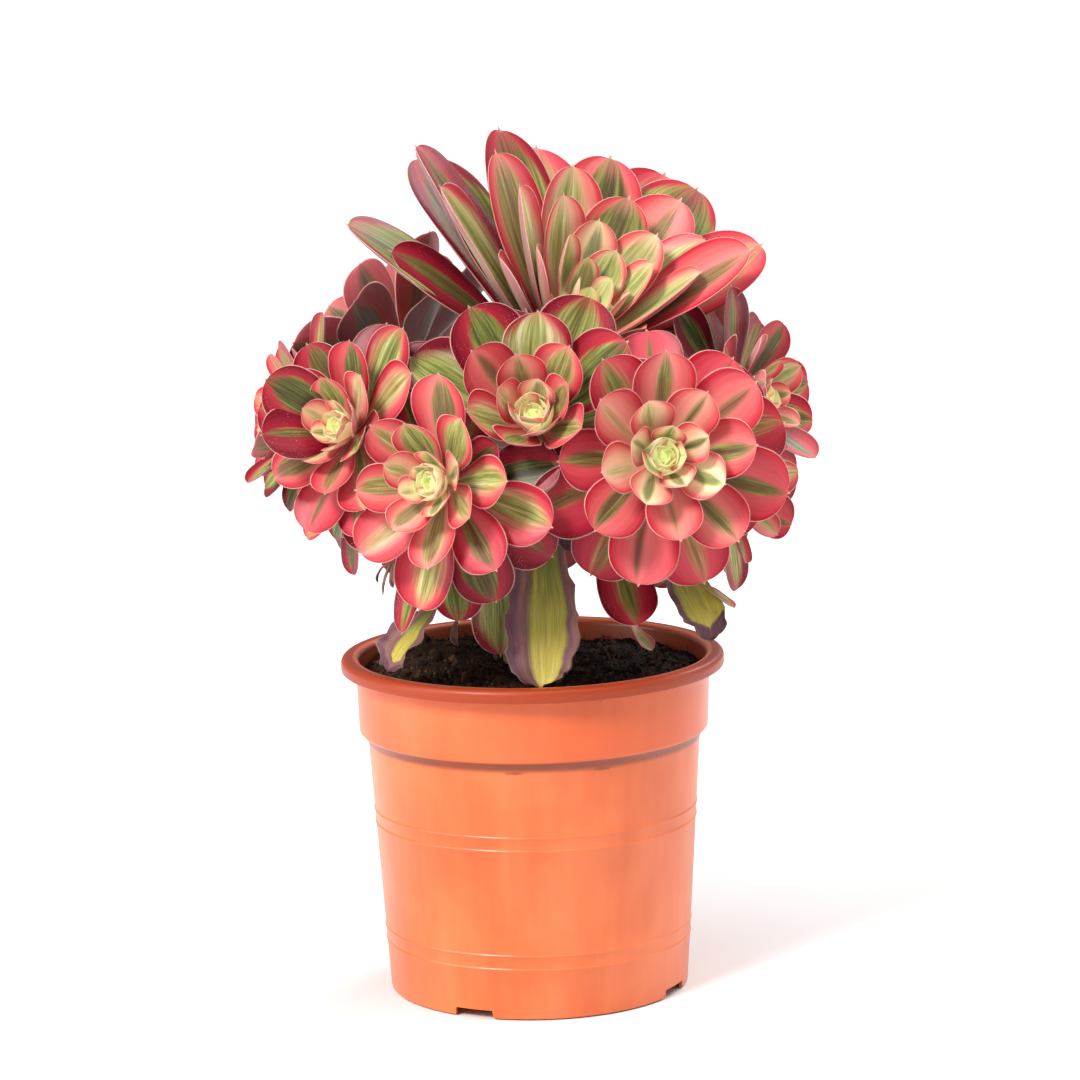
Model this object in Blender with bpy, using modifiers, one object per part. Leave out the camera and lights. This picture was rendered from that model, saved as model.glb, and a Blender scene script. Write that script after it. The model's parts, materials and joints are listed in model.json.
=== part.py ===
"""Potted succulent: a branched tree houseleek with variegated rosettes, in a moulded nursery pot.

Metres, +Z up. The origin is the centre of the pot's foot, on the surface that it stands on.
The plant's front is towards -Y. Run with: blender --background --python part.py
"""

import math
from collections import namedtuple

import bmesh
import bpy
from mathutils import Matrix, Vector, noise
from mathutils.bvhtree import BVHTree

MM = 0.001  # lengths in the tables below are written in millimetres
GAP = 0.4 * MM  # air left between pieces that touch on the real plant
STEM_GAP = 1.0 * MM  # the same between a woody stem and a rosette's leafy one

# ---------------------------------------------------------------- pot
POT_HEIGHT = 150 * MM
RIM_RADIUS = 85 * MM  # a nursery pot 17 cm across the rim
FOOT_RADIUS = 66.5 * MM
WALL = 1.5 * MM
LIP_DROP = 6 * MM  # how far the rolled lip hangs down
COLLAR_TOP_RADIUS = 78.3 * MM
COLLAR_FOOT_RADIUS = 77.6 * MM
COLLAR_FOOT_Z = 116.5 * MM
BODY_TOP_RADIUS = 73.8 * MM
BODY_TOP_Z = 112.5 * MM
FLOOR_Z = 4.5 * MM  # underside of the pot's floor, which the foot ring lifts
POT_STEPS = 48
NOTCHES = 4
NOTCH_FIRST = math.radians(-26)  # from the front, towards +X
NOTCH_WIDTH = 17.5 * MM
NOTCH_HEIGHT = 3.6 * MM
NOTCH_FLARE = 1.12  # the foot of a notch against its top
DRAIN_HOLES = 8
DRAIN_RADIUS = 5 * MM
DRAIN_CIRCLE = 50 * MM

# ---------------------------------------------------------------- soil
SOIL_LEVEL = 141 * MM
SOIL_STEPS = 40
SOIL_LUMP = 2.6 * MM  # height of the clods above and below the level
SOIL_RINGS = (76.0, 68.0, 56.0, 43.0, 29.0, 14.0)  # mm, radii of the rings across the top

# ---------------------------------------------------------------- stems
TRUNK = ((-3, 17, 112), (-5, 16, 150), (-2, 14, 190), (1, 12, 230))  # mm, up to the top rosette
TRUNK_RADIUS = 8.5 * MM
TRUNK_TIP_RADIUS = 5.6 * MM
BRANCH_RADIUS = 4.2 * MM
BRANCH_TIP_RADIUS = 3.6 * MM

# ---------------------------------------------------------------- leaves
GOLDEN_ANGLE = math.radians(137.508)
BUD_LEAVES = 9  # the youngest leaves, which one closed bud stands for
BUD_SIZE = 0.17  # radius of the bud as a share of the leaf length
LEAF_THICKNESS = 0.062  # share of a leaf's length
LEAF_FOOT = 0.22  # width of a leaf's foot as a share of its widest
DROOP = 18  # degrees that the oldest leaves sink where they point straight down
SHED_BELOW = 0.2  # a leaf counts as downward when it rises less than this share of its length
HELD_TILT = 38  # degrees that a fully cramped front leaf is held down by its neighbours
HELD_SHORT = 0.62  # share of its length that such a leaf doesn't reach
LOWEST_LEAF = POT_HEIGHT + 4 * MM  # rosette leaves hang no lower than just over the rim
LEAF_STATIONS = (0.0, 0.6, 0.93)  # shares of the length where a leaf has a cross-section
SMALL_STATIONS = (0.0, 0.8)
SMALL_LEAF = 30 * MM

Rosette = namedtuple(
    "Rosette", "name at facing rise length width leaves open shed cramped fork"
)
ROSETTES = [
    # name, heart (mm), facing (deg from the front towards +X), rise (deg), leaf length (mm),
    # leaf width as a share of its length, leaves, tilt of the oldest leaves (deg above square
    # to the stem), age past which the downward leaves have dropped (1 for none), how much the
    # leaves towards the front are held down and short (0 to 1), and height (mm) where its
    # branch leaves the trunk (0 for the one at the trunk's own end)
    Rosette("front_left", (-38, -76, 239), -28, 12, 55, 0.54, 34, -14, 1, 0.3, 184),
    Rosette("front_right", (56, -77, 248), 8, 12, 56, 0.57, 36, -16, 1, 0, 202),
    Rosette("front_centre", (3, -64, 262), -4, 32, 60, 0.58, 36, 4, 0.4, 0, 218),
    Rosette("left", (-77, -48, 258), -36, 20, 48, 0.56, 36, -10, 1, 0, 205),
    Rosette("top", (20, -12, 291), 50, 60, 114, 0.38, 60, 20, 1, 1, 0),
    Rosette("right", (97, -10, 262), 62, 14, 50, 0.52, 28, -10, 1, 0, 224),
    Rosette("lower_right", (91, -16, 222), 58, -6, 50, 0.52, 26, -14, 1, 0, 186),
    Rosette("lower_left", (-84, -16, 230), -62, -2, 42, 0.52, 24, -14, 1, 0, 172),
    Rosette("outer_left", (-99, -8, 256), -74, 10, 48, 0.54, 26, -12, 1, 0, 226),
    Rosette("back_right", (60, 64, 264), 142, 28, 60, 0.52, 28, -8, 1, 0, 214),
    Rosette("back_left", (-61, 45, 281), -128, 34, 62, 0.52, 28, -8, 1, 0, 188),
    Rosette("back_centre", (4, 87, 226), 178, 2, 52, 0.52, 26, -10, 1, 0, 180),
]

Hanging = namedtuple("Hanging", "name at facing length half_width tilt curl cup")
HANGING_LEAVES = [
    # old leaves that hang from the stems: base (mm), facing (deg), length, half width (mm),
    # tilt and curl (deg), cup
    Hanging("withered_leaf_front", (6, -40, 232), -8, 88, 16.5, -80, 8, 0.12),
    Hanging("withered_leaf_right", (54, -24, 202), 50, 50, 13, -52, -20, 0.20),
    Hanging("withered_leaf_left", (-36, -22, 180), -58, 44, 11, -40, -24, 0.30),
    Hanging("hanging_leaf_left", (-14, -31, 208), -10, 52, 12, -84, 8, 0.20),
    Hanging("hanging_leaf_right", (34, -26, 216), 24, 52, 13, -66, 22, 0.25),
    Hanging("drooping_leaf_front", (-33, -56, 226), -4, 50, 11.5, -86, 10, 0.25),
    Hanging("drooping_leaf_left", (-37, -52, 226), -58, 58, 9, -68, -8, 0.25),
]

Leaf = namedtuple("Leaf", "base out up length half_width tilt curl cup")


def clear_scene():
    for obj in list(bpy.data.objects):
        bpy.data.objects.remove(obj)


def new_collection(name):
    made = bpy.data.collections.new(name)
    bpy.context.scene.collection.children.link(made)
    return made


def material(name, colour, roughness):
    made = bpy.data.materials.new(name)
    made.use_nodes = True
    shader = made.node_tree.nodes["Principled BSDF"]
    shader.inputs["Base Color"].default_value = (*colour, 1)
    shader.inputs["Roughness"].default_value = roughness
    shader.inputs["Metallic"].default_value = 0
    return made


def add_mesh(name, mesh, collection, finish=None):
    obj = bpy.data.objects.new(name, mesh)
    collection.objects.link(obj)
    if finish is not None:
        mesh.materials.append(finish)
    return obj


def mesh_from_bmesh(name, bm):
    bmesh.ops.recalc_face_normals(bm, faces=bm.faces)
    mesh = bpy.data.meshes.new(name)
    bm.to_mesh(mesh)
    bm.free()
    return mesh


def boolean(obj, operation, other, use_self=False):
    modifier = obj.modifiers.new(operation.title(), "BOOLEAN")
    modifier.operation = operation
    modifier.object = other
    modifier.solver = "EXACT"
    modifier.use_self = use_self


def as_cutter(obj):
    obj.hide_render = True
    obj.display_type = "WIRE"
    return obj


# ---------------------------------------------------------------- the pot


def wall_radius(z):
    """Outer radius of the pot's wall at height z, below the lip."""
    if z >= COLLAR_FOOT_Z:
        share = (z - COLLAR_FOOT_Z) / (POT_HEIGHT - COLLAR_FOOT_Z)
        return COLLAR_FOOT_RADIUS + share * (COLLAR_TOP_RADIUS - COLLAR_FOOT_RADIUS)
    if z >= BODY_TOP_Z:
        share = (z - BODY_TOP_Z) / (COLLAR_FOOT_Z - BODY_TOP_Z)
        return BODY_TOP_RADIUS + share * (COLLAR_FOOT_RADIUS - BODY_TOP_RADIUS)
    return FOOT_RADIUS + z / BODY_TOP_Z * (BODY_TOP_RADIUS - FOOT_RADIUS)


def pot_profile():
    """Points (radius, z) from the axis over the rim and back to the axis, up inside and down outside."""
    floor_top = FLOOR_Z + WALL
    inner = [
        (0, floor_top),
        (wall_radius(floor_top) - WALL, floor_top),
        (BODY_TOP_RADIUS - WALL, BODY_TOP_Z),
        (COLLAR_FOOT_RADIUS - WALL, COLLAR_FOOT_Z),
        (COLLAR_TOP_RADIUS - WALL, POT_HEIGHT - WALL),
    ]
    lip = [
        (COLLAR_TOP_RADIUS - 0.3 * WALL, POT_HEIGHT),
        (RIM_RADIUS - WALL, POT_HEIGHT),
        (RIM_RADIUS, POT_HEIGHT - WALL),
        (RIM_RADIUS, POT_HEIGHT - LIP_DROP),
        (RIM_RADIUS - WALL, POT_HEIGHT - LIP_DROP),
        (RIM_RADIUS - WALL, POT_HEIGHT - 1.3 * WALL),
        (COLLAR_TOP_RADIUS, POT_HEIGHT - 1.3 * WALL),
    ]
    outer = [
        (COLLAR_FOOT_RADIUS, COLLAR_FOOT_Z),
        (BODY_TOP_RADIUS, BODY_TOP_Z),
        (FOOT_RADIUS, 0),
        (FOOT_RADIUS - WALL, 0),
        (wall_radius(FLOOR_Z) - WALL, FLOOR_Z),
        (0, FLOOR_Z),
    ]
    return inner + lip + outer


def screw_object(name, profile, steps, collection, finish=None):
    mesh = bpy.data.meshes.new(name)
    points = [(radius, 0, z) for radius, z in profile]
    mesh.from_pydata(points, [(i, i + 1) for i in range(len(points) - 1)], [])
    obj = add_mesh(name, mesh, collection, finish)
    turn = obj.modifiers.new("Turn", "SCREW")
    turn.steps = steps
    turn.render_steps = steps
    turn.use_merge_vertices = True
    turn.merge_threshold = 0.00005
    turn.use_smooth_shade = False
    return obj


def notch_cutter(angle, collection):
    """A block, wider at its foot, that opens the foot ring so that water can run out."""
    bm = bmesh.new()
    bmesh.ops.create_cube(bm, size=1)
    for vertex in bm.verts:
        flare = 1.0 if vertex.co.z > 0 else NOTCH_FLARE
        vertex.co.x *= NOTCH_WIDTH * flare
        vertex.co.y *= 5 * WALL
        vertex.co.z *= 2 * NOTCH_HEIGHT
    place = Matrix.Rotation(angle, 4, "Z") @ Matrix.Translation((0, -FOOT_RADIUS, 0))
    bmesh.ops.transform(bm, matrix=place, verts=bm.verts)
    mesh = mesh_from_bmesh("notch_cutter", bm)
    return as_cutter(add_mesh("notch_cutter", mesh, collection))


def drain_cutter(angle, collection):
    bm = bmesh.new()
    bmesh.ops.create_cone(
        bm, cap_ends=True, segments=12, radius1=DRAIN_RADIUS, radius2=DRAIN_RADIUS, depth=8 * WALL
    )
    place = Matrix.Rotation(angle, 4, "Z") @ Matrix.Translation((0, -DRAIN_CIRCLE, FLOOR_Z))
    bmesh.ops.transform(bm, matrix=place, verts=bm.verts)
    mesh = mesh_from_bmesh("drain_cutter", bm)
    return as_cutter(add_mesh("drain_cutter", mesh, collection))


def build_pot(parts, cutters, finish):
    pot = screw_object("pot", pot_profile(), POT_STEPS, parts, finish)
    for i in range(NOTCHES):
        angle = NOTCH_FIRST + i * 2 * math.pi / NOTCHES
        boolean(pot, "DIFFERENCE", notch_cutter(angle, cutters))
    for i in range(DRAIN_HOLES):
        angle = (i + 0.5) * 2 * math.pi / DRAIN_HOLES
        boolean(pot, "DIFFERENCE", drain_cutter(angle, cutters))
    return pot


# ---------------------------------------------------------------- the soil


def soil_height(x, y):
    """Height of the soil's top: loose clods, with a mound at the back left."""
    lumps = noise.noise(Vector((x, y, 0)) / (17 * MM))
    mound = math.exp(-((x + 45 * MM) ** 2 + (y - 40 * MM) ** 2) / (26 * MM) ** 2)
    return SOIL_LEVEL + SOIL_LUMP * lumps + 6 * MM * mound


def build_soil(parts, finish, trunk_socket):
    """The soil fills the pot: its side follows the pot's inner wall, and its top is uneven."""
    clearance = WALL + GAP
    side = [
        (0, FLOOR_Z + WALL + GAP),
        (wall_radius(FLOOR_Z) - clearance - GAP, FLOOR_Z + WALL + GAP),
        (BODY_TOP_RADIUS - clearance - GAP, BODY_TOP_Z + GAP),
        (COLLAR_FOOT_RADIUS - clearance, COLLAR_FOOT_Z + GAP),
    ]
    top = [(radius * MM, SOIL_LEVEL) for radius in SOIL_RINGS] + [(0, SOIL_LEVEL)]
    bm = bmesh.new()
    line = [bm.verts.new((radius, 0, z)) for radius, z in side + top]
    edges = [bm.edges.new(pair) for pair in zip(line, line[1:])]
    bmesh.ops.spin(
        bm, geom=line + edges, cent=(0, 0, 0), axis=(0, 0, 1), angle=2 * math.pi, steps=SOIL_STEPS
    )
    bmesh.ops.remove_doubles(bm, verts=bm.verts, dist=0.00005)
    for vertex in bm.verts:
        if vertex.co.z > SOIL_LEVEL - 0.5 * MM:
            vertex.co.z = soil_height(vertex.co.x, vertex.co.y)
    soil = add_mesh("soil", mesh_from_bmesh("soil", bm), parts, finish)
    boolean(soil, "DIFFERENCE", trunk_socket)
    return soil


# ---------------------------------------------------------------- stems


def smooth_line(points, count):
    """Catmull-Rom points through the given ones, evenly in parameter."""
    padded = [2 * points[0] - points[1], *points, 2 * points[-1] - points[-2]]
    spans = len(points) - 1
    line = []
    for i in range(count + 1):
        at = min(i / count * spans, spans - 1e-9)
        k = int(at)
        t = at - k
        a, b, c, d = padded[k : k + 4]
        line.append(
            0.5 * (2 * b + (c - a) * t + (2 * a - 5 * b + 4 * c - d) * t * t
                   + (3 * b - a - 3 * c + d) * t**3)
        )
    return line


def stem_mesh(name, line, radius_foot, radius_tip, collection, finish=None):
    """A tapered tube along a line, made as a bevelled curve and then turned into a closed mesh."""
    curve = bpy.data.curves.new(name, "CURVE")
    curve.dimensions = "3D"
    curve.bevel_depth = 1
    curve.bevel_resolution = 2
    curve.use_fill_caps = True
    spline = curve.splines.new("POLY")
    spline.points.add(len(line) - 1)
    for i, (point, co) in enumerate(zip(spline.points, line)):
        share = i / (len(line) - 1)
        point.co = (*co, 1)
        point.radius = radius_foot + share * (radius_tip - radius_foot)
    guide = add_mesh(name + "_guide", curve, collection)
    bpy.context.view_layer.update()
    graph = bpy.context.evaluated_depsgraph_get()
    mesh = bpy.data.meshes.new_from_object(guide.evaluated_get(graph))
    bpy.data.objects.remove(guide)
    bm = bmesh.new()
    bm.from_mesh(mesh)
    bmesh.ops.remove_doubles(bm, verts=bm.verts, dist=0.00005)
    bpy.data.meshes.remove(mesh)
    return add_mesh(name, mesh_from_bmesh(name, bm), collection, finish)


def trunk_line():
    """The trunk's middle line, which ends straight behind the rosette that has no branch."""
    top = next(rosette for rosette in ROSETTES if rosette.fork == 0)
    end = stalk_foot(top)
    points = [Vector(p) * MM for p in TRUNK] + [end - axis_of(top) * 16 * MM, end]
    return smooth_line(points, 16)


def trunk_point(height):
    """The point on the trunk's middle line at this height."""
    line = trunk_line()
    return min(line, key=lambda p: abs(p.z - height))


def axis_of(rosette):
    facing = math.radians(rosette.facing)
    rise = math.radians(rosette.rise)
    return Vector(
        (math.sin(facing) * math.cos(rise), -math.cos(facing) * math.cos(rise), math.sin(rise))
    )


def stalk_length(rosette):
    """How far the leaf-bearing stem reaches back from the rosette's heart."""
    return (0.22 * rosette.length + 4) * MM


def stalk_foot(rosette):
    """Where the woody stem stops, just behind the leaf-bearing one."""
    return Vector(rosette.at) * MM - axis_of(rosette) * (stalk_length(rosette) + STEM_GAP)


def branch_line(rosette):
    """From the trunk out and round to the back of the rosette's leaf-bearing stem."""
    axis = axis_of(rosette)
    end = stalk_foot(rosette)
    start = trunk_point(rosette.fork * MM)
    knee = end - axis * 0.35 * (end - start).length
    line = []
    for i in range(9):
        t = i / 8
        line.append((1 - t) ** 2 * start + 2 * t * (1 - t) * knee + t * t * end)
    return line


# ---------------------------------------------------------------- leaves


def leaf_plan(rosette):
    """The leaves of one rosette, youngest first, by the golden angle."""
    axis = axis_of(rosette)
    side = axis.cross(Vector((0, 0, 1))).normalized()
    over = side.cross(axis)
    heart = Vector(rosette.at) * MM
    leaves = []
    for i in range(rosette.leaves):
        age = i / (rosette.leaves - 1)
        angle = i * GOLDEN_ANGLE
        out = side * math.cos(angle) + over * math.sin(angle)
        if age > rosette.shed and out.z < SHED_BELOW:
            continue
        stalk = stalk_length(rosette) * (0.05 + 0.75 * age)
        length = rosette.length * MM * (0.20 + 0.80 * min(1, age / 0.72) ** 0.85)
        tilt = 80 - (80 - rosette.open) * age**0.9
        held = rosette.cramped * max(0, -out.y)
        tilt -= HELD_TILT * held * (1 - 0.5 * age)
        length *= 1 - HELD_SHORT * held
        leaves.append(
            Leaf(
                base=heart - axis * stalk + out * (0.8 + 1.6 * age) * MM,
                out=out,
                up=axis,
                length=length,
                half_width=length * rosette.width * (0.56 - 0.08 * age),
                tilt=tilt - DROOP * age * max(0, -out.z),
                curl=34 - 46 * age,
                cup=0.34 - 0.16 * age,
            )
        )
    return leaves


def leaf_point(leaf, along, across, over=0.0):
    """A point on a leaf: along from 0 at the base to 1 at the tip, across from -1 to 1, over in
    metres above the blade. The blade bends evenly from its base to its tip and is cupped."""
    bend = math.radians(leaf.curl)
    start = math.radians(leaf.tilt) - 0.4 * bend
    here = start + bend * along
    if abs(bend) < 1e-3:
        out, up = along * math.cos(start), along * math.sin(start)
    else:
        out = (math.sin(here) - math.sin(start)) / bend
        up = (math.cos(start) - math.cos(here)) / bend
    normal = leaf.up * math.cos(here) - leaf.out * math.sin(here)
    side = leaf.up.cross(leaf.out)
    half = leaf.half_width * outline(along)
    return (
        leaf.base
        + (leaf.out * out + leaf.up * up) * leaf.length
        + side * half * across
        + normal * (leaf.cup * half * across * across + over)
    )


def outline(along):
    """Half width of a spoon-shaped leaf at a share of its length, as a share of the widest."""
    if along < 0.70:
        share = along / 0.70
        return LEAF_FOOT + (1 - LEAF_FOOT) * share * share * (3 - 2 * share)
    share = (along - 0.70) / 0.30
    return math.sqrt(max(0.0, 1 - share**2.2))


def leaf_shell(leaf, grow=0.0):
    """(points, faces) of one closed leaf: rings of left edge, upper side, right edge and
    underside, and then the tip. It is thicker by grow, in metres, on every side."""
    stations = LEAF_STATIONS if leaf.length > SMALL_LEAF else SMALL_STATIONS
    thick = LEAF_THICKNESS * leaf.length
    leaf = leaf._replace(length=leaf.length + grow, half_width=leaf.half_width + grow)
    points = []
    for along in stations:
        over = 0.5 * thick * (1 - 0.55 * along) + grow
        points += [
            leaf_point(leaf, along, -1),
            leaf_point(leaf, along, 0, over),
            leaf_point(leaf, along, 1),
            leaf_point(leaf, along, 0, -over),
        ]
    points.append(leaf_point(leaf, 1, 0))
    tip = len(points) - 1
    faces = [(0, 1, 2), (0, 2, 3)]
    for low in range(0, tip - 4, 4):
        for k in range(4):
            before = (k - 1) % 4
            faces.append((low + k, low + before, low + 4 + before))
            faces.append((low + k, low + 4 + before, low + 4 + k))
    for k in range(4):
        faces.append((tip - 4 + k, tip - 4 + (k - 1) % 4, tip))
    return points, faces


def shells_joined(shells):
    points, faces = [], []
    for more_points, more_faces in shells:
        first = len(points)
        points += more_points
        faces += [tuple(first + k for k in face) for face in more_faces]
    return points, faces


def tree_of(mesh):
    """What a leaf is tested against. Every mesh here lies where it stands, so no matrix is needed."""
    return BVHTree.FromPolygons(
        [vertex.co for vertex in mesh.vertices], [face.vertices[:] for face in mesh.polygons]
    )


def swung(leaf, degrees):
    return leaf._replace(out=Matrix.Rotation(math.radians(degrees), 3, leaf.up) @ leaf.out)


def dodges():
    """(lift, swing, size) of each place that a crowded leaf tries, the smallest change first."""
    tries = [
        (abs(lift) / 40 + abs(swing) / 60 + (1 - size), lift, swing, size)
        for lift in (0, 6, 12, 18, 26, 34, 44, 54, -8, -16)
        for swing in (0, 9, -9, 18, -18)
        for size in (1.0, 0.92, 0.84, 0.76, 0.68, 0.60, 0.52)
    ]
    return [dodge[1:] for dodge in sorted(tries)]


def settled(leaf, obstacles):
    """The leaf moved as little as it needs to clear what is there. None if it finds no room."""
    for lift, swing, size in dodges():
        if leaf.tilt + lift > 88:
            continue
        tried = swung(leaf, swing)._replace(
            tilt=leaf.tilt + lift, length=leaf.length * size, half_width=leaf.half_width * size
        )
        points, faces = leaf_shell(tried, GAP)
        if min(point.z for point in points) < LOWEST_LEAF:
            continue
        tree = BVHTree.FromPolygons(points, faces)
        if not any(obstacle.overlap(tree) for obstacle in obstacles):
            return tried
    return None


def leaf_object(name, leaves, collection, finish=None):
    mesh = bpy.data.meshes.new(name)
    points, faces = shells_joined([leaf_shell(leaf) for leaf in leaves])
    mesh.from_pydata(points, [], faces)
    bm = bmesh.new()
    bm.from_mesh(mesh)
    bpy.data.meshes.remove(mesh)
    return add_mesh(name, mesh_from_bmesh(name, bm), collection, finish)


def leaf_stem(rosette, parts, cutters, finish):
    """The short stem that bears the leaves, and the closed bud at its end: (stem, bud)."""
    axis = axis_of(rosette)
    heart = Vector(rosette.at) * MM
    stalk = stalk_length(rosette)
    bud = BUD_SIZE * rosette.length * MM
    bm = bmesh.new()
    bmesh.ops.create_cone(
        bm, cap_ends=True, segments=10, radius1=BRANCH_RADIUS, radius2=0.8 * bud, depth=stalk
    )
    bmesh.ops.translate(bm, verts=bm.verts, vec=(0, 0, -stalk / 2))
    point = axis.to_track_quat("Z", "Y").to_matrix().to_4x4()
    bmesh.ops.transform(bm, matrix=Matrix.Translation(heart) @ point, verts=bm.verts)
    stem = add_mesh("rosette_" + rosette.name, mesh_from_bmesh(rosette.name, bm), parts, finish)
    bm = bmesh.new()
    bmesh.ops.create_icosphere(bm, subdivisions=1, radius=bud)
    place = Matrix.Translation(heart + axis * 0.5 * bud)
    bmesh.ops.transform(bm, matrix=place, verts=bm.verts)
    ball = as_cutter(add_mesh("bud", mesh_from_bmesh("bud", bm), cutters))
    return stem, ball


def settle_rosettes(cores, obstacles):
    """The leaves of every rosette, by name. The rosettes take turns, youngest leaves first, and
    each leaf settles round the stems and the leaves that are already there."""
    plans = {rosette.name: leaf_plan(rosette)[BUD_LEAVES:] for rosette in ROSETTES}
    grown = {rosette.name: [] for rosette in ROSETTES}
    crowns = {}
    for turn in range(max(len(plan) for plan in plans.values())):
        for name, plan in plans.items():
            if turn >= len(plan):
                continue
            others = [tree for other, trees in cores.items() if other != name for tree in trees]
            others += [tree for other, tree in crowns.items() if other != name]
            leaf = settled(plan[turn], obstacles + others)
            if leaf is None:
                continue
            grown[name].append(leaf)
            crowns[name] = BVHTree.FromPolygons(
                *shells_joined([leaf_shell(leaf) for leaf in grown[name]])
            )
    return grown


def joined_outside(obj):
    """Applies the unions, and drops the small sealed pockets that crowded leaves shut in."""
    bpy.context.view_layer.update()
    graph = bpy.context.evaluated_depsgraph_get()
    mesh = bpy.data.meshes.new_from_object(obj.evaluated_get(graph))
    obj.modifiers.clear()
    bm = bmesh.new()
    bm.from_mesh(mesh)
    bpy.data.meshes.remove(mesh)
    waiting = set(bm.faces)
    shells = []
    while waiting:
        shell = []
        front = [waiting.pop()]
        while front:
            face = front.pop()
            shell.append(face)
            near = {other for edge in face.edges for other in edge.link_faces} & waiting
            waiting -= near
            front.extend(near)
        shells.append(shell)
    shells.sort(key=len)
    pockets = [face for shell in shells[:-1] for face in shell]
    bmesh.ops.delete(bm, geom=pockets, context="FACES")
    bm.to_mesh(obj.data)
    bm.free()


def build_rosettes(parts, cutters, finish, obstacles):
    """Every rosette as one solid: its leaf-bearing stem, its bud and all of its leaves."""
    stems = {rosette.name: leaf_stem(rosette, parts, cutters, finish) for rosette in ROSETTES}
    cores = {
        name: [tree_of(piece.data) for piece in pieces] for name, pieces in stems.items()
    }
    for name, leaves in settle_rosettes(cores, obstacles).items():
        stem, ball = stems[name]
        boolean(stem, "UNION", ball)
        blades = as_cutter(leaf_object("blades", leaves, cutters))
        boolean(stem, "UNION", blades, use_self=True)
        joined_outside(stem)


def hanging_leaf(spec):
    facing = math.radians(spec.facing)
    return Leaf(
        base=Vector(spec.at) * MM,
        out=Vector((math.sin(facing), -math.cos(facing), 0)),
        up=Vector((0, 0, 1)),
        length=spec.length * MM,
        half_width=spec.half_width * MM,
        tilt=spec.tilt,
        curl=spec.curl,
        cup=spec.cup,
    )


def main():
    clear_scene()
    parts = new_collection("potted_succulent")
    cutters = new_collection("cutters")
    pot_plastic = material("terracotta_plastic", (0.83, 0.27, 0.13), 0.38)
    soil_finish = material("potting_soil", (0.045, 0.028, 0.018), 0.95)
    bark = material("stem_bark", (0.23, 0.17, 0.09), 0.8)
    leaf_finish = material("variegated_leaf", (0.60, 0.07, 0.12), 0.45)
    withered = material("withered_leaf", (0.42, 0.30, 0.10), 0.7)

    build_pot(parts, cutters, pot_plastic)
    socket = stem_mesh(
        "trunk_socket", trunk_line(), TRUNK_RADIUS + GAP, TRUNK_TIP_RADIUS + GAP, cutters
    )
    build_soil(parts, soil_finish, as_cutter(socket))
    trunk = stem_mesh("trunk", trunk_line(), TRUNK_RADIUS, TRUNK_TIP_RADIUS, parts, bark)
    obstacles = [tree_of(trunk.data)]
    for rosette in ROSETTES:
        if rosette.fork == 0:
            continue
        branch = stem_mesh(
            "branch_" + rosette.name, branch_line(rosette), BRANCH_RADIUS, BRANCH_TIP_RADIUS,
            parts, bark,
        )
        boolean(branch, "DIFFERENCE", socket)
        obstacles.append(tree_of(branch.data))
    for spec in HANGING_LEAVES:
        leaf = leaf_object(spec.name, [hanging_leaf(spec)], parts, withered)
        obstacles.append(tree_of(leaf.data))
    build_rosettes(parts, cutters, leaf_finish, obstacles)


main()
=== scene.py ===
# %% [markdown]
# # A potted tree houseleek, finished around its imported model
#
# The imported model gives the pot, the soil, the stems and the leaf rosettes at their real size.
# This lesson gives each of them its looks: grown leaves in place of plain solids, a moulded pot
# with its lip and raised lines, crumbly soil, and bark. Everything is in metres, with +Z up, and
# the plant's front is towards -Y. We start by loading the model.

import json
import math
import random
from collections import namedtuple

import bmesh
import bpy
from mathutils import Matrix, Quaternion, Vector, noise
from mathutils.bvhtree import BVHTree

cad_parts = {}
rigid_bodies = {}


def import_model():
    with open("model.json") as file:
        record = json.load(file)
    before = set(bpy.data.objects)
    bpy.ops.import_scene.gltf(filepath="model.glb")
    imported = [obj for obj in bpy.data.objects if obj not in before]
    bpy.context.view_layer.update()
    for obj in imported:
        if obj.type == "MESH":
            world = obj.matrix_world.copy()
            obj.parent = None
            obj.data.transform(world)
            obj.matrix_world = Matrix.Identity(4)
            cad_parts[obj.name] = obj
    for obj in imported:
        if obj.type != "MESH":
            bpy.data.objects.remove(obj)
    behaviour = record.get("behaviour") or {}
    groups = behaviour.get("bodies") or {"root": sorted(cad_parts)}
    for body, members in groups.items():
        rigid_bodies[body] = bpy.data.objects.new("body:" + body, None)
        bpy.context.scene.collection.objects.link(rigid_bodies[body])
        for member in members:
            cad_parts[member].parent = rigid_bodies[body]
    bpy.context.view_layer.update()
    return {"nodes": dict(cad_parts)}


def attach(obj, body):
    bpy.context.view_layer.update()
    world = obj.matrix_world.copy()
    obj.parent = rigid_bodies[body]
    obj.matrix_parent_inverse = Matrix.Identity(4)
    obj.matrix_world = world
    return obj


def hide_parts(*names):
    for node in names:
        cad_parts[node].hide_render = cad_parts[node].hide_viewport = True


for startup in list(bpy.data.objects):
    bpy.data.objects.remove(startup)
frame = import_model()
MM = 0.001

# %% [markdown]
# ## The camera, the floor and the light
#
# A product picture on white has a long lens and light from all round. One strong soft light from
# the front left shapes the forms, and a weaker, softer one comes from above. A weak round lamp on
# each side, and one behind on the right, add sheen. The camera looks down on the pot by about ten
# degrees. What the camera sees behind the floor is plain white, and the sky that lights the plant
# is dimmer than that.

# %% The studio
EYE = Vector((0, -1.894, 0.532))
AIM = Vector((0.0045, 0, 0.200))
ROLL = math.radians(-1.3)
LENS = 145.1
SKY = 0.34  # strength of the light from all round


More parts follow.
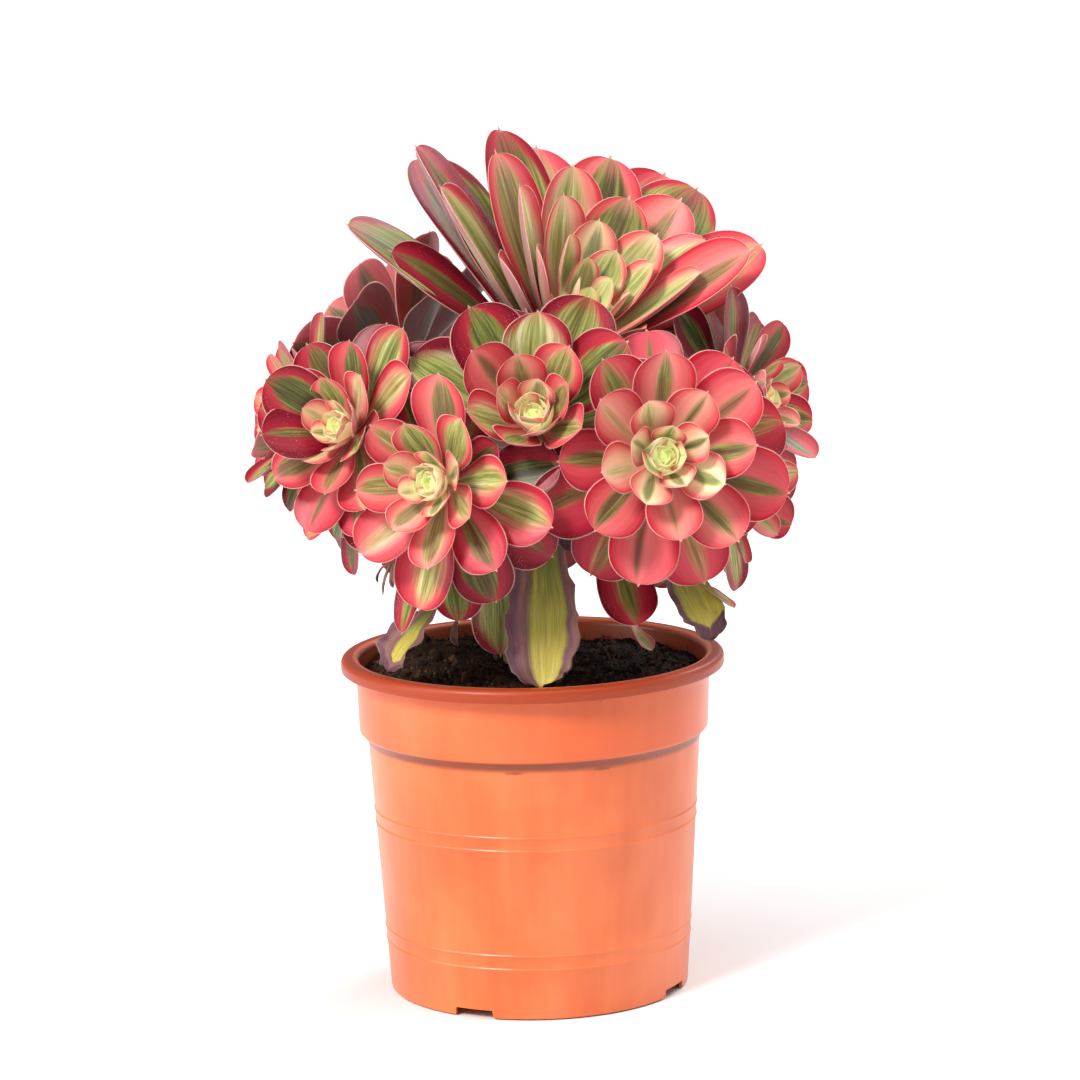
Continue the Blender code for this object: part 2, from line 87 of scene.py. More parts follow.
def make_camera():
    data = bpy.data.cameras.new("camera")
    data.lens = LENS
    data.sensor_width = 36
    data.clip_start = 0.1
    data.clip_end = 20
    camera = bpy.data.objects.new("camera", data)
    bpy.context.scene.collection.objects.link(camera)
    camera.location = EYE
    camera.rotation_mode = "QUATERNION"
    turned = Quaternion((0, 0, 1), ROLL)
    camera.rotation_quaternion = (AIM - EYE).to_track_quat("-Z", "Y") @ turned
    bpy.context.scene.camera = camera


def area_light(name, place, aim, size, watts):
    data = bpy.data.lights.new(name, "AREA")
    data.shape = "DISK"
    data.size = size
    data.energy = watts
    lamp = bpy.data.objects.new(name, data)
    bpy.context.scene.collection.objects.link(lamp)
    lamp.location = place
    lamp.rotation_mode = "QUATERNION"
    lamp.rotation_quaternion = (Vector(aim) - Vector(place)).to_track_quat("-Z", "Y")


def make_floor():
    bpy.ops.mesh.primitive_plane_add(size=60, location=(0, 0, -0.0005))
    floor = bpy.context.object
    floor.name = "floor"
    finish = bpy.data.materials.new("white_paper")
    finish.use_nodes = True
    shader = finish.node_tree.nodes["Principled BSDF"]
    shader.inputs["Base Color"].default_value = (0.74, 0.74, 0.74, 1)
    shader.inputs["Roughness"].default_value = 0.9
    floor.data.materials.append(finish)


def make_sky():
    world = bpy.data.worlds.new("studio")
    world.use_nodes = True
    tree = world.node_tree
    background = tree.nodes["Background"]
    background.inputs["Color"].default_value = (1, 1, 1, 1)
    background.inputs["Strength"].default_value = SKY
    seen = tree.nodes.new("ShaderNodeBackground")
    seen.inputs["Color"].default_value = (1, 1, 1, 1)
    seen.inputs["Strength"].default_value = 1.0
    path = tree.nodes.new("ShaderNodeLightPath")
    mixed = tree.nodes.new("ShaderNodeMixShader")
    tree.links.new(path.outputs["Is Camera Ray"], mixed.inputs[0])
    tree.links.new(background.outputs[0], mixed.inputs[1])
    tree.links.new(seen.outputs[0], mixed.inputs[2])
    tree.links.new(mixed.outputs[0], tree.nodes["World Output"].inputs["Surface"])
    bpy.context.scene.world = world


def sun_light(name, direction, strength, softness):
    data = bpy.data.lights.new(name, "SUN")
    data.energy = strength
    data.angle = math.radians(softness)
    sun = bpy.data.objects.new(name, data)
    bpy.context.scene.collection.objects.link(sun)
    sun.rotation_mode = "QUATERNION"
    sun.rotation_quaternion = Vector(direction).to_track_quat("-Z", "Y")


make_camera()
make_floor()
make_sky()
sun_light("key", (0.58, 0.68, -0.80), 3.4, 18)
sun_light("top_light", (-0.25, 0.15, -1.0), 1.7, 50)
area_light("left_box", (-1.5, -0.5, 0.5), (0, 0, 0.18), 1.0, 9)
area_light("right_box", (1.5, 0.3, 0.5), (0, 0, 0.18), 0.8, 3)
area_light("sheen", (0.9, 1.1, 1.5), (0, 0, 0.26), 1.2, 22)
bpy.context.scene.view_settings.view_transform = "Standard"

# %% [markdown]
# ## Node trees written as Python
#
# Both the materials and the Geometry Nodes below are node trees, and wiring them by hand is long.
# So one small class wraps a socket: an expression such as `1 - mask * 0.5` then adds the Math
# nodes that it needs. A second class, the bench, holds a tree. Its `node` method adds any other
# node: first its settings, and then the values or wires of its sockets.

# %% Wires and benches


class Wire:
    """An output socket that can be used in an expression."""

    def __init__(self, bench, socket):
        self.bench = bench
        self.socket = socket

    def __add__(self, other):
        return self.bench.maths("ADD", self, other)

    def __radd__(self, other):
        return self.bench.maths("ADD", other, self)

    def __sub__(self, other):
        return self.bench.maths("SUBTRACT", self, other)

    def __rsub__(self, other):
        return self.bench.maths("SUBTRACT", other, self)

    def __mul__(self, other):
        return self.bench.maths("MULTIPLY", self, other)

    def __rmul__(self, other):
        return self.bench.maths("MULTIPLY", other, self)

    def __truediv__(self, other):
        return self.bench.maths("DIVIDE", self, other)

    def __pow__(self, other):
        return self.bench.maths("POWER", self, other)


class Bench:
    """A node tree, with one method that adds a node and a few short names for common ones."""

    def __init__(self, tree):
        self.tree = tree

    def node(self, kind, settings=None, inputs=None, out=0):
        made = self.tree.nodes.new(kind)
        for name, value in (settings or {}).items():
            if name == "stops":
                self.set_stops(made.color_ramp, value)
            else:
                setattr(made, name, value)
        for key, value in (inputs or {}).items():
            if isinstance(value, Wire):
                self.tree.links.new(value.socket, made.inputs[key])
            else:
                made.inputs[key].default_value = value
        return Wire(self, made.outputs[out])

    @staticmethod
    def set_stops(ramp, stops):
        while len(ramp.elements) < len(stops):
            ramp.elements.new(0.5)
        for element, (place, colour) in zip(ramp.elements, stops):
            element.position = place
            element.color = (*colour, 1)

    def maths(self, operation, *values):
        return self.node("ShaderNodeMath", {"operation": operation}, dict(enumerate(values)))

    def vector(self, operation, *values):
        return self.node("ShaderNodeVectorMath", {"operation": operation}, dict(enumerate(values)))

    def scaled(self, vector, factor):
        inputs = {"Vector": vector, "Scale": factor}
        return self.node("ShaderNodeVectorMath", {"operation": "SCALE"}, inputs)

    def total(self, *vectors):
        found = vectors[0]
        for vector in vectors[1:]:
            found = self.vector("ADD", found, vector)
        return found

    def step(self, value, low, high):
        """0 below low and 1 above high, with a smooth rise between them."""
        inputs = {"Value": value, "From Min": low, "From Max": high}
        return self.node("ShaderNodeMapRange", {"interpolation_type": "SMOOTHSTEP"}, inputs)

    def mix(self, factor, first, second):
        inputs = {0: factor, 6: first, 7: second}
        return self.node("ShaderNodeMix", {"data_type": "RGBA"}, inputs, out=2)

    def ramp(self, value, stops):
        return self.node("ShaderNodeValToRGB", {"stops": stops}, {0: value})

    def noise(self, vector, scale, detail=2.0, roughness=0.5, distortion=0.0):
        inputs = {
            "Vector": vector, "Scale": scale, "Detail": detail,
            "Roughness": roughness, "Distortion": distortion,
        }
        return self.node("ShaderNodeTexNoise", None, inputs)


def srgb(red, green, blue):
    """A colour as it is read off a screen, 0 to 255, made linear."""
    def linear(value):
        value /= 255
        return value / 12.92 if value <= 0.04045 else ((value + 0.055) / 1.055) ** 2.4
    return (linear(red), linear(green), linear(blue))


def colour(red, green, blue):
    return (*srgb(red, green, blue), 1)


print("benches ready")

# %% [markdown]
# ## Where the leaves stand
#
# A houseleek's leaves come out of the stem end one by one, each turned from the last by the golden
# angle, so that none shades the one just below. The youngest stand up round the heart, and the
# oldest spread and sink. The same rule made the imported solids, and it is repeated here, with the
# same table of rosettes. Where two rosettes press together, a leaf is lifted, swung or grown
# smaller until it clears what is already there, which is what happens on the plant.

# %% The rosettes
GAP = 0.4 * MM
POT_HEIGHT = 150 * MM
LOWEST_LEAF = POT_HEIGHT + 4 * MM
BRANCH_RADIUS = 4.2 * MM
GOLDEN_ANGLE = math.radians(137.508)
BUD_LEAVES = 9
BUD_SIZE = 0.17
LEAF_THICKNESS = 0.062
LEAF_FOOT = 0.22
DROOP = 18
SHED_BELOW = 0.2
HELD_TILT = 38  # degrees that a fully cramped front leaf is held down
HELD_SHORT = 0.62  # share by which it stays short
LEAF_STATIONS = (0.0, 0.6, 0.93)
SMALL_STATIONS = (0.0, 0.8)
SMALL_LEAF = 30 * MM

Rosette = namedtuple(
    "Rosette", "name at facing rise length width leaves open shed cramped fork stripe tone"
)
ROSETTES = [
    # name, heart (mm), facing and rise of the stem (deg), leaf length (mm), leaf width as a share
    # of it, leaves, tilt of the oldest (deg), age from which the lower leaves have dropped, how
    # much the leaves towards the front are held down and short, from 0 to 1, height where its
    # branch forks (mm), width of the green stripe, and tone from coral 0 to crimson 1
    Rosette("front_left", (-38, -76, 239), -28, 12, 55, 0.54, 34, -14, 1, 0.3, 184, 0.42, 0.45),
    Rosette("front_right", (56, -77, 248), 8, 12, 56, 0.57, 36, -16, 1, 0, 202, 0.22, 0.26),
    Rosette("front_centre", (3, -64, 262), -4, 32, 60, 0.58, 36, 4, 0.4, 0, 218, 0.56, 0.70),
    Rosette("left", (-77, -48, 258), -36, 20, 48, 0.56, 36, -10, 1, 0, 205, 0.44, 0.50),
    Rosette("top", (20, -12, 291), 50, 60, 114, 0.38, 60, 20, 1, 1, 0, 0.74, 0.26),
    Rosette("right", (97, -10, 262), 62, 14, 50, 0.52, 28, -10, 1, 0, 224, 0.36, 0.80),
    Rosette("lower_right", (91, -16, 222), 58, -6, 50, 0.52, 26, -14, 1, 0, 186, 0.30, 0.80),
    Rosette("lower_left", (-84, -16, 230), -62, -2, 42, 0.52, 24, -14, 1, 0, 172, 0.36, 0.75),
    Rosette("outer_left", (-99, -8, 256), -74, 10, 48, 0.54, 26, -12, 1, 0, 226, 0.40, 0.85),
    Rosette("back_right", (60, 64, 264), 142, 28, 60, 0.52, 28, -8, 1, 0, 214, 0.32, 0.50),
    Rosette("back_left", (-61, 45, 281), -128, 34, 62, 0.52, 28, -8, 1, 0, 188, 0.40, 0.60),
    Rosette("back_centre", (4, 87, 226), 178, 2, 52, 0.52, 26, -10, 1, 0, 180, 0.28, 0.45),
]

Leaf = namedtuple("Leaf", "base out up length half_width tilt curl cup age")


def axis_of(rosette):
    facing = math.radians(rosette.facing)
    rise = math.radians(rosette.rise)
    return Vector(
        (math.sin(facing) * math.cos(rise), -math.cos(facing) * math.cos(rise), math.sin(rise))
    )


def stalk_length(rosette):
    return (0.22 * rosette.length + 4) * MM


def leaf_plan(rosette):
    """The leaves of one rosette, youngest first, by the golden angle."""
    axis = axis_of(rosette)
    side = axis.cross(Vector((0, 0, 1))).normalized()
    over = side.cross(axis)
    heart = Vector(rosette.at) * MM
    leaves = []
    for i in range(rosette.leaves):
        age = i / (rosette.leaves - 1)
        angle = i * GOLDEN_ANGLE
        out = side * math.cos(angle) + over * math.sin(angle)
        if age > rosette.shed and out.z < SHED_BELOW:
            continue
        stalk = stalk_length(rosette) * (0.05 + 0.75 * age)
        length = rosette.length * MM * (0.20 + 0.80 * min(1, age / 0.72) ** 0.85)
        tilt = 80 - (80 - rosette.open) * age**0.9
        held = rosette.cramped * max(0, -out.y)
        tilt -= HELD_TILT * held * (1 - 0.5 * age)
        length *= 1 - HELD_SHORT * held
        leaves.append(
            Leaf(
                base=heart - axis * stalk + out * (0.8 + 1.6 * age) * MM,
                out=out,
                up=axis,
                length=length,
                half_width=length * rosette.width * (0.56 - 0.08 * age),
                tilt=tilt - DROOP * age * max(0, -out.z),
                curl=34 - 46 * age,
                cup=0.34 - 0.16 * age,
                age=age,
            )
        )
    return leaves


print("rosettes:", len(ROSETTES), "leaves planned:", sum(len(leaf_plan(r)) for r in ROSETTES))

# %% [markdown]
# ## Leaves that settle round one another
#
# To test whether a leaf touches anything, a plain shell of it is enough: a few cross-sections with
# four corners. Blender's BVH tree answers quickly whether two meshes cross. The rosettes take
# turns, youngest leaves first, so that no rosette takes all the room.

# %% Settle the leaves


def outline(along):
    """Half width of a spoon-shaped leaf at a share of its length, as a share of the widest."""
    if along < 0.70:
        share = along / 0.70
        return LEAF_FOOT + (1 - LEAF_FOOT) * share * share * (3 - 2 * share)
    share = (along - 0.70) / 0.30
    return math.sqrt(max(0.0, 1 - share**2.2))


def leaf_point(leaf, along, across, over=0.0):
    """A point on a leaf that bends evenly from its foot to its tip and is cupped across."""
    bend = math.radians(leaf.curl)
    start = math.radians(leaf.tilt) - 0.4 * bend
    here = start + bend * along
    if abs(bend) < 1e-3:
        out, up = along * math.cos(start), along * math.sin(start)
    else:
        out = (math.sin(here) - math.sin(start)) / bend
        up = (math.cos(start) - math.cos(here)) / bend
    normal = leaf.up * math.cos(here) - leaf.out * math.sin(here)
    side = leaf.up.cross(leaf.out)
    half = leaf.half_width * outline(along)
    return (
        leaf.base
        + (leaf.out * out + leaf.up * up) * leaf.length
        + side * half * across
        + normal * (leaf.cup * half * across * across + over)
    )


def leaf_shell(leaf, grow=0.0):
    """(points, faces) of a plain closed leaf, thicker by grow on every side."""
    stations = LEAF_STATIONS if leaf.length > SMALL_LEAF else SMALL_STATIONS
    thick = LEAF_THICKNESS * leaf.length
    leaf = leaf._replace(length=leaf.length + grow, half_width=leaf.half_width + grow)
    points = []
    for along in stations:
        over = 0.5 * thick * (1 - 0.55 * along) + grow
        points += [
            leaf_point(leaf, along, -1),
            leaf_point(leaf, along, 0, over),
            leaf_point(leaf, along, 1),
            leaf_point(leaf, along, 0, -over),
        ]
    points.append(leaf_point(leaf, 1, 0))
    tip = len(points) - 1
    faces = [(0, 1, 2), (0, 2, 3)]
    for low in range(0, tip - 4, 4):
        for k in range(4):
            before = (k - 1) % 4
            faces.append((low + k, low + before, low + 4 + before))
            faces.append((low + k, low + 4 + before, low + 4 + k))
    for k in range(4):
        faces.append((tip - 4 + k, tip - 4 + (k - 1) % 4, tip))
    return points, faces


def tree_of_shells(shells):
    points, faces = [], []
    for more_points, more_faces in shells:
        first = len(points)
        points += more_points
        faces += [tuple(first + k for k in face) for face in more_faces]
    return BVHTree.FromPolygons(points, faces)


def tree_of_mesh(mesh):
    return BVHTree.FromPolygons(
        [vertex.co for vertex in mesh.vertices], [face.vertices[:] for face in mesh.polygons]
    )


def core_trees(rosette):
    """What the other rosettes' leaves keep off: this one's leafy stem and its bud."""
    axis = axis_of(rosette)
    heart = Vector(rosette.at) * MM
    stalk = stalk_length(rosette)
    bud = BUD_SIZE * rosette.length * MM
    trees = []
    stem = bmesh.new()
    bmesh.ops.create_cone(
        stem, cap_ends=True, segments=10, radius1=BRANCH_RADIUS, radius2=0.8 * bud, depth=stalk
    )
    bmesh.ops.translate(stem, verts=stem.verts, vec=(0, 0, -stalk / 2))
    point = axis.to_track_quat("Z", "Y").to_matrix().to_4x4()
    bmesh.ops.transform(stem, matrix=Matrix.Translation(heart) @ point, verts=stem.verts)
    ball = bmesh.new()
    bmesh.ops.create_icosphere(ball, subdivisions=1, radius=bud)
    place = Matrix.Translation(heart + axis * 0.5 * bud)
    bmesh.ops.transform(ball, matrix=place, verts=ball.verts)
    for bm in (stem, ball):
        trees.append(BVHTree.FromBMesh(bm))
        bm.free()
    return trees


def dodges():
    """(lift, swing, size) of each place that a crowded leaf tries, the smallest change first."""
    tries = [
        (abs(lift) / 40 + abs(swing) / 60 + (1 - size), lift, swing, size)
        for lift in (0, 6, 12, 18, 26, 34, 44, 54, -8, -16)
        for swing in (0, 9, -9, 18, -18)
        for size in (1.0, 0.92, 0.84, 0.76, 0.68, 0.60, 0.52)
    ]
    return [dodge[1:] for dodge in sorted(tries)]


def settled(leaf, obstacles):
    for lift, swing, size in dodges():
        if leaf.tilt + lift > 88:
            continue
        turn = Matrix.Rotation(math.radians(swing), 3, leaf.up)
        tried = leaf._replace(
            out=turn @ leaf.out, tilt=leaf.tilt + lift,
            length=leaf.length * size, half_width=leaf.half_width * size,
        )
        points, faces = leaf_shell(tried, GAP)
        if min(point.z for point in points) < LOWEST_LEAF:
            continue
        tree = BVHTree.FromPolygons(points, faces)
        if not any(obstacle.overlap(tree) for obstacle in obstacles):
            return tried
    return None


def settle_rosettes():
    """The settled leaves of every rosette, by the rosette's name."""
    fixed = ("trunk", "branch_", "withered_", "hanging_", "drooping_")
    obstacles = [
        tree_of_mesh(node.data) for name, node in frame["nodes"].items() if name.startswith(fixed)
    ]
    cores = {rosette.name: core_trees(rosette) for rosette in ROSETTES}
    plans = {rosette.name: leaf_plan(rosette)[BUD_LEAVES:] for rosette in ROSETTES}
    grown = {rosette.name: [] for rosette in ROSETTES}
    crowns = {}
    for turn in range(max(len(plan) for plan in plans.values())):
        for name, plan in plans.items():
            if turn >= len(plan):
                continue
            others = [tree for other, trees in cores.items() if other != name for tree in trees]
            others += [tree for other, tree in crowns.items() if other != name]
            leaf = settled(plan[turn], obstacles + others)
            if leaf is not None:
                grown[name].append(leaf)
                crowns[name] = tree_of_shells([leaf_shell(leaf) for leaf in grown[name]])
    return grown


settled_leaves = settle_rosettes()
print("leaves settled:", {name: len(leaves) for name, leaves in settled_leaves.items()})

# %% [markdown]
# ## The heart of a rosette
#
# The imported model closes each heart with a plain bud. A real heart is a tight rose of small young
# leaves that stand up and curl over one another. Sixteen tiny ones are added here, and round them
# the youngest leaves of the plan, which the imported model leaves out.

# %% Heart leaves
HEART_LEAVES = 16


def heart_leaves(rosette):
    """Small upright leaves that close the heart, the smallest first."""
    axis = axis_of(rosette)
    side = axis.cross(Vector((0, 0, 1))).normalized()
    over = side.cross(axis)
    size = rosette.length * MM if rosette.name != "top" else 0.72 * rosette.length * MM
    leaves = []
    for i in range(HEART_LEAVES):
        share = i / (HEART_LEAVES - 1)
        angle = (i - HEART_LEAVES) * GOLDEN_ANGLE
        length = size * (0.09 + 0.22 * share)
        out = side * math.cos(angle) + over * math.sin(angle)
        foot = Vector(rosette.at) * MM - axis * 0.04 * size * share
        leaves.append(
            Leaf(
                base=foot + out * 0.055 * size * share,
                out=out,
                up=axis,
                length=length,
                half_width=length * (0.34 + 0.10 * share),
                tilt=88 - 20 * share,
                curl=52 - 8 * share,
                cup=0.50,
                age=-0.30 + 0.28 * share,
            )
        )
    return leaves


def leaves_of(rosette):
    young = leaf_plan(rosette)[:BUD_LEAVES]
    return heart_leaves(rosette) + young + settled_leaves[rosette.name]


print("leaves in the front left rosette:", len(leaves_of(ROSETTES[0])))

# %% [markdown]
# ## One leaf on each point
#
# Every leaf follows the same rule with its own sizes, so this is work for Geometry Nodes. The tree
# takes a mesh that has only points, one for each leaf, with the leaf's sizes stored on it. It puts
# a closed tube on every point, and then moves the tube's points: the rings follow the leaf's
# length, and the round of the tube becomes its width and thickness. The leaf ends in a short
# point, its edges carry fine hairs, and it remembers how far each spot is from the edge.

# %% The leaf tree
LEAF_AROUND = 20
LEAF_RINGS = 27
CROWDED = 2.0  # the power by which the rings crowd towards the tip
MUCRO = 0.020  # length of the point at the tip, as a share of the leaf


def new_tree(name, sockets):
    """A Geometry Nodes tree with a geometry in and out, and named inputs."""
    tree = bpy.data.node_groups.new(name, "GeometryNodeTree")
    tree.interface.new_socket("Geometry", in_out="INPUT", socket_type="NodeSocketGeometry")
    tree.interface.new_socket("Geometry", in_out="OUTPUT", socket_type="NodeSocketGeometry")
    for label, kind in sockets.items():
        tree.interface.new_socket(label, in_out="INPUT", socket_type="NodeSocket" + kind)
    bench = Bench(tree)
    entry = tree.nodes.new("NodeGroupInput")
    given = {socket.name: Wire(bench, socket) for socket in entry.outputs if socket.name}
    return bench, given


def end_tree(bench, geometry, material):
    """Ends a tree: real geometry, with its finish."""
    real = bench.node("GeometryNodeRealizeInstances", None, {"Geometry": geometry})
    done = bench.node("GeometryNodeSetMaterial", None, {"Geometry": real, "Material": material})
    exit_node = bench.tree.nodes.new("NodeGroupOutput")
    bench.tree.links.new(done.socket, exit_node.inputs[0])


def parts(bench, vector):
    split = bench.node("ShaderNodeSeparateXYZ", None, {0: vector}).socket.node
    return tuple(Wire(bench, socket) for socket in split.outputs)


def field(bench, name):
    """A stored vector, read inside Geometry Nodes."""
    settings = {"data_type": "FLOAT_VECTOR"}
    return bench.node("GeometryNodeInputNamedAttribute", settings, {"Name": name})


def store(bench, geometry, name, value, kind="FLOAT_VECTOR"):
    settings = {"data_type": kind, "domain": "POINT"}
    inputs = {"Geometry": geometry, "Name": name, "Value": value}
    return bench.node("GeometryNodeStoreNamedAttribute", settings, inputs)


def triple(bench, x, y, z):
    return bench.node("ShaderNodeCombineXYZ", None, {0: x, 1: y, 2: z})


def leaf_tubes(bench, points):
    """A closed tube on every point, whose points know their place on it."""
    sizes = {"Vertices": LEAF_AROUND, "Side Segments": LEAF_RINGS, "Radius": 1, "Depth": 1}
    tube = bench.node("GeometryNodeMeshCylinder", {"fill_type": "TRIANGLE_FAN"}, sizes)
    place = bench.vector("ADD", bench.node("GeometryNodeInputPosition"), (0, 0, 0.5))
    tube = store(bench, tube, "leaf_ring", place)
    inputs = {"Points": points, "Instance": tube}
    tubes = bench.node("GeometryNodeInstanceOnPoints", None, inputs)
    return bench.node("GeometryNodeRealizeInstances", None, {"Geometry": tubes})


def shape_leaves(bench, tubes, thickness):
    """The tubes bent, widened and flattened into leaves."""
    across, over, ring = parts(bench, field(bench, "leaf_ring"))
    length, half_width, cup = parts(bench, field(bench, "leaf_size"))
    tilt, curl, twist = parts(bench, field(bench, "leaf_bend"))
    sweep, wave, seed = parts(bench, field(bench, "leaf_habit"))
    out, up = field(bench, "leaf_out"), field(bench, "leaf_up")

    along = 1 - (1 - ring) ** CROWDED
    foot = bench.step(along, 0, 0.70) * (1 - LEAF_FOOT) + LEAF_FOOT
    tip_share = bench.node("ShaderNodeClamp", None, {0: (along - 0.70) / 0.30})
    rounding = bench.maths("SQRT", 1 - tip_share**2.6)
    pointed = 1 - bench.step(ring, 0.925, 0.962) * 0.70
    narrowing = rounding * pointed + 0.006
    half = half_width * foot * narrowing

    start = tilt - curl * 0.4
    here = start + curl * along
    outward = (bench.maths("SINE", here) - bench.maths("SINE", start)) / curl
    upward = (bench.maths("COSINE", start) - bench.maths("COSINE", here)) / curl
    sine, cosine = bench.maths("SINE", here), bench.maths("COSINE", here)
    tangent = bench.total(bench.scaled(out, cosine), bench.scaled(up, sine))
    flat_normal = bench.total(bench.scaled(up, cosine), bench.scaled(out, sine * -1))
    flat_side = bench.vector("CROSS_PRODUCT", up, out)
    turn = twist * along
    turn_sine, turn_cosine = bench.maths("SINE", turn), bench.maths("COSINE", turn)
    side = bench.total(bench.scaled(flat_side, turn_cosine), bench.scaled(flat_normal, turn_sine))
    normal = bench.total(
        bench.scaled(flat_normal, turn_cosine), bench.scaled(flat_side, turn_sine * -1)
    )

    squared = across * across
    ripple = bench.maths("SINE", along * 11 + seed * 50 + across * 1.5) * squared * wave
    rise = half * cup * squared + half_width * narrowing * ripple
    thick = over * thickness * length * (0.5 - 0.26 * along) * narrowing
    point = bench.step(ring, 0.963, 1) * MUCRO
    place = bench.total(
        field(bench, "leaf_base"),
        bench.scaled(out, outward * length),
        bench.scaled(up, upward * length),
        bench.scaled(flat_side, sweep * along * along * length),
        bench.scaled(side, half * across),
        bench.scaled(normal, rise + thick),
        bench.scaled(tangent, point * length),
    )
    leaves = bench.node("GeometryNodeSetPosition", None, {"Geometry": tubes, "Position": place})
    leaves = store(bench, leaves, "leaf_place", triple(bench, across, along, over))
    from_edge = half * (1 - bench.maths("ABSOLUTE", across)) * 1000
    leaves = store(bench, leaves, "leaf_edge", from_edge, "FLOAT")
    outside = bench.scaled(side, bench.maths("SIGN", across))
    leaves = store(bench, leaves, "leaf_side", outside)
    return bench.node("GeometryNodeSetShadeSmooth", None, {"Geometry": leaves})


def edge_hairs(bench, leaves, spacing, hair_length):
    """A fine cone about every millimetre along the edge of each leaf."""
    across, along, _ = parts(bench, field(bench, "leaf_place"))
    on_edge = bench.maths("GREATER_THAN", bench.maths("ABSOLUTE", across), 0.999)
    not_foot = bench.maths("GREATER_THAN", along, 0.35)
    inputs = {"Mesh": leaves, "Selection": on_edge * not_foot}
    margin = bench.node("GeometryNodeMeshToCurve", None, inputs)
    inputs = {"Curve": margin, "Length": spacing}
    margin = bench.node("GeometryNodeResampleCurve", {"mode": "LENGTH"}, inputs)
    sizes = {
        "Vertices": 3, "Side Segments": 1, "Radius Top": 0.00001, "Radius Bottom": 0.00008,
        "Depth": hair_length,
    }
    hair = bench.node("GeometryNodeMeshCone", {"fill_type": "NGON"}, sizes)
    jitter = bench.node(
        "FunctionNodeRandomValue", {"data_type": "FLOAT_VECTOR"},
        {"Min": (-0.35, -0.35, -0.35), "Max": (0.35, 0.35, 0.35), "Seed": 4},
    )
    outside = bench.total(field(bench, "leaf_side"), jitter)
    turn = bench.node("FunctionNodeAlignRotationToVector", {"axis": "Z"}, {"Vector": outside})
    inputs = {"Points": margin, "Instance": hair, "Rotation": turn}
    return bench.node("GeometryNodeInstanceOnPoints", None, inputs)


def make_leaf_tree():
    sockets = {
        "Thickness": "Float", "Hair spacing": "Float", "Hair length": "Float",
        "Material": "Material",
    }
    bench, given = new_tree("leaves", sockets)
    leaves = shape_leaves(bench, leaf_tubes(bench, given["Geometry"]), given["Thickness"])
    hairs = edge_hairs(bench, leaves, given["Hair spacing"], given["Hair length"])
    joined = bench.tree.nodes.new("GeometryNodeJoinGeometry")
    bench.tree.links.new(hairs.socket, joined.inputs[0])
    bench.tree.links.new(leaves.socket, joined.inputs[0])
    end_tree(bench, Wire(bench, joined.outputs[0]), given["Material"])
    return bench.tree


leaf_tree = make_leaf_tree()
print("nodes in the leaf tree:", len(leaf_tree.nodes))

# %% [markdown]
# ## From a tree to a plain mesh
#
# A modifier's inputs are set by the identifiers of the tree's sockets. The result is then taken as
# a plain mesh, and the modifier goes, because the imported frame wants plain meshes.

# %% Growing a piece


def run_tree(obj, tree, values):
    """Runs a Geometry Nodes tree on an object and keeps the result as its mesh."""
    modifier = obj.modifiers.new(tree.name, "NODES")
    modifier.node_group = tree
    for item in tree.interface.items_tree:
        if item.in_out == "INPUT" and item.name in values:
            modifier[item.identifier] = values[item.name]
    return keep_result(obj)


def keep_result(obj):
    """The object with its modifiers applied and removed."""
    graph = bpy.context.evaluated_depsgraph_get()
    graph.update()
    mesh = bpy.data.meshes.new_from_object(
        obj.evaluated_get(graph), preserve_all_data_layers=True, depsgraph=graph
    )
    obj.modifiers.clear()
    old = obj.data
    obj.data = mesh
    bpy.data.meshes.remove(old)
    mesh.name = obj.name
    return obj


def new_object(name, mesh):
    obj = bpy.data.objects.new(name, mesh)
    bpy.context.scene.collection.objects.link(obj)
    return obj


def put_values(mesh, name, values):
    layer = mesh.attributes.new(name, "FLOAT_VECTOR", "POINT")
    layer.data.foreach_set("vector", [part for value in values for part in value])


def leaf_point_mesh(name, leaves, looks, habits):
    """A mesh of one point for each leaf, which carries the leaf's sizes and looks."""
    mesh = bpy.data.meshes.new(name)
    mesh.from_pydata([leaf.base for leaf in leaves], [], [])
    bends = []
    for leaf, habit in zip(leaves, habits):
        curl = leaf.curl if abs(leaf.curl) > 1 else 1
        bends.append((math.radians(leaf.tilt), math.radians(curl), habit.twist))
    put_values(mesh, "leaf_base", [leaf.base for leaf in leaves])
    put_values(mesh, "leaf_out", [leaf.out for leaf in leaves])
    put_values(mesh, "leaf_up", [leaf.up for leaf in leaves])
    put_values(mesh, "leaf_size", [(leaf.length, leaf.half_width, leaf.cup) for leaf in leaves])
    put_values(mesh, "leaf_bend", bends)
    put_values(mesh, "leaf_habit", [(habit.sweep, habit.wave, habit.seed) for habit in habits])
    put_values(mesh, "leaf_look", looks)
    return mesh


print("piece helpers ready")

# %% [markdown]
# ## The finish of a leaf
#
# A leaf's colour follows its age and the place on it. The heart is lime and cream, young leaves
# are salmon with a pink edge, and old ones are crimson. A green stripe runs up the middle: only a
# patch near the tip on young leaves, and a full band on old ones, with streaks along the leaf. The
# edge is a thin pale line, and the underside is greyer.

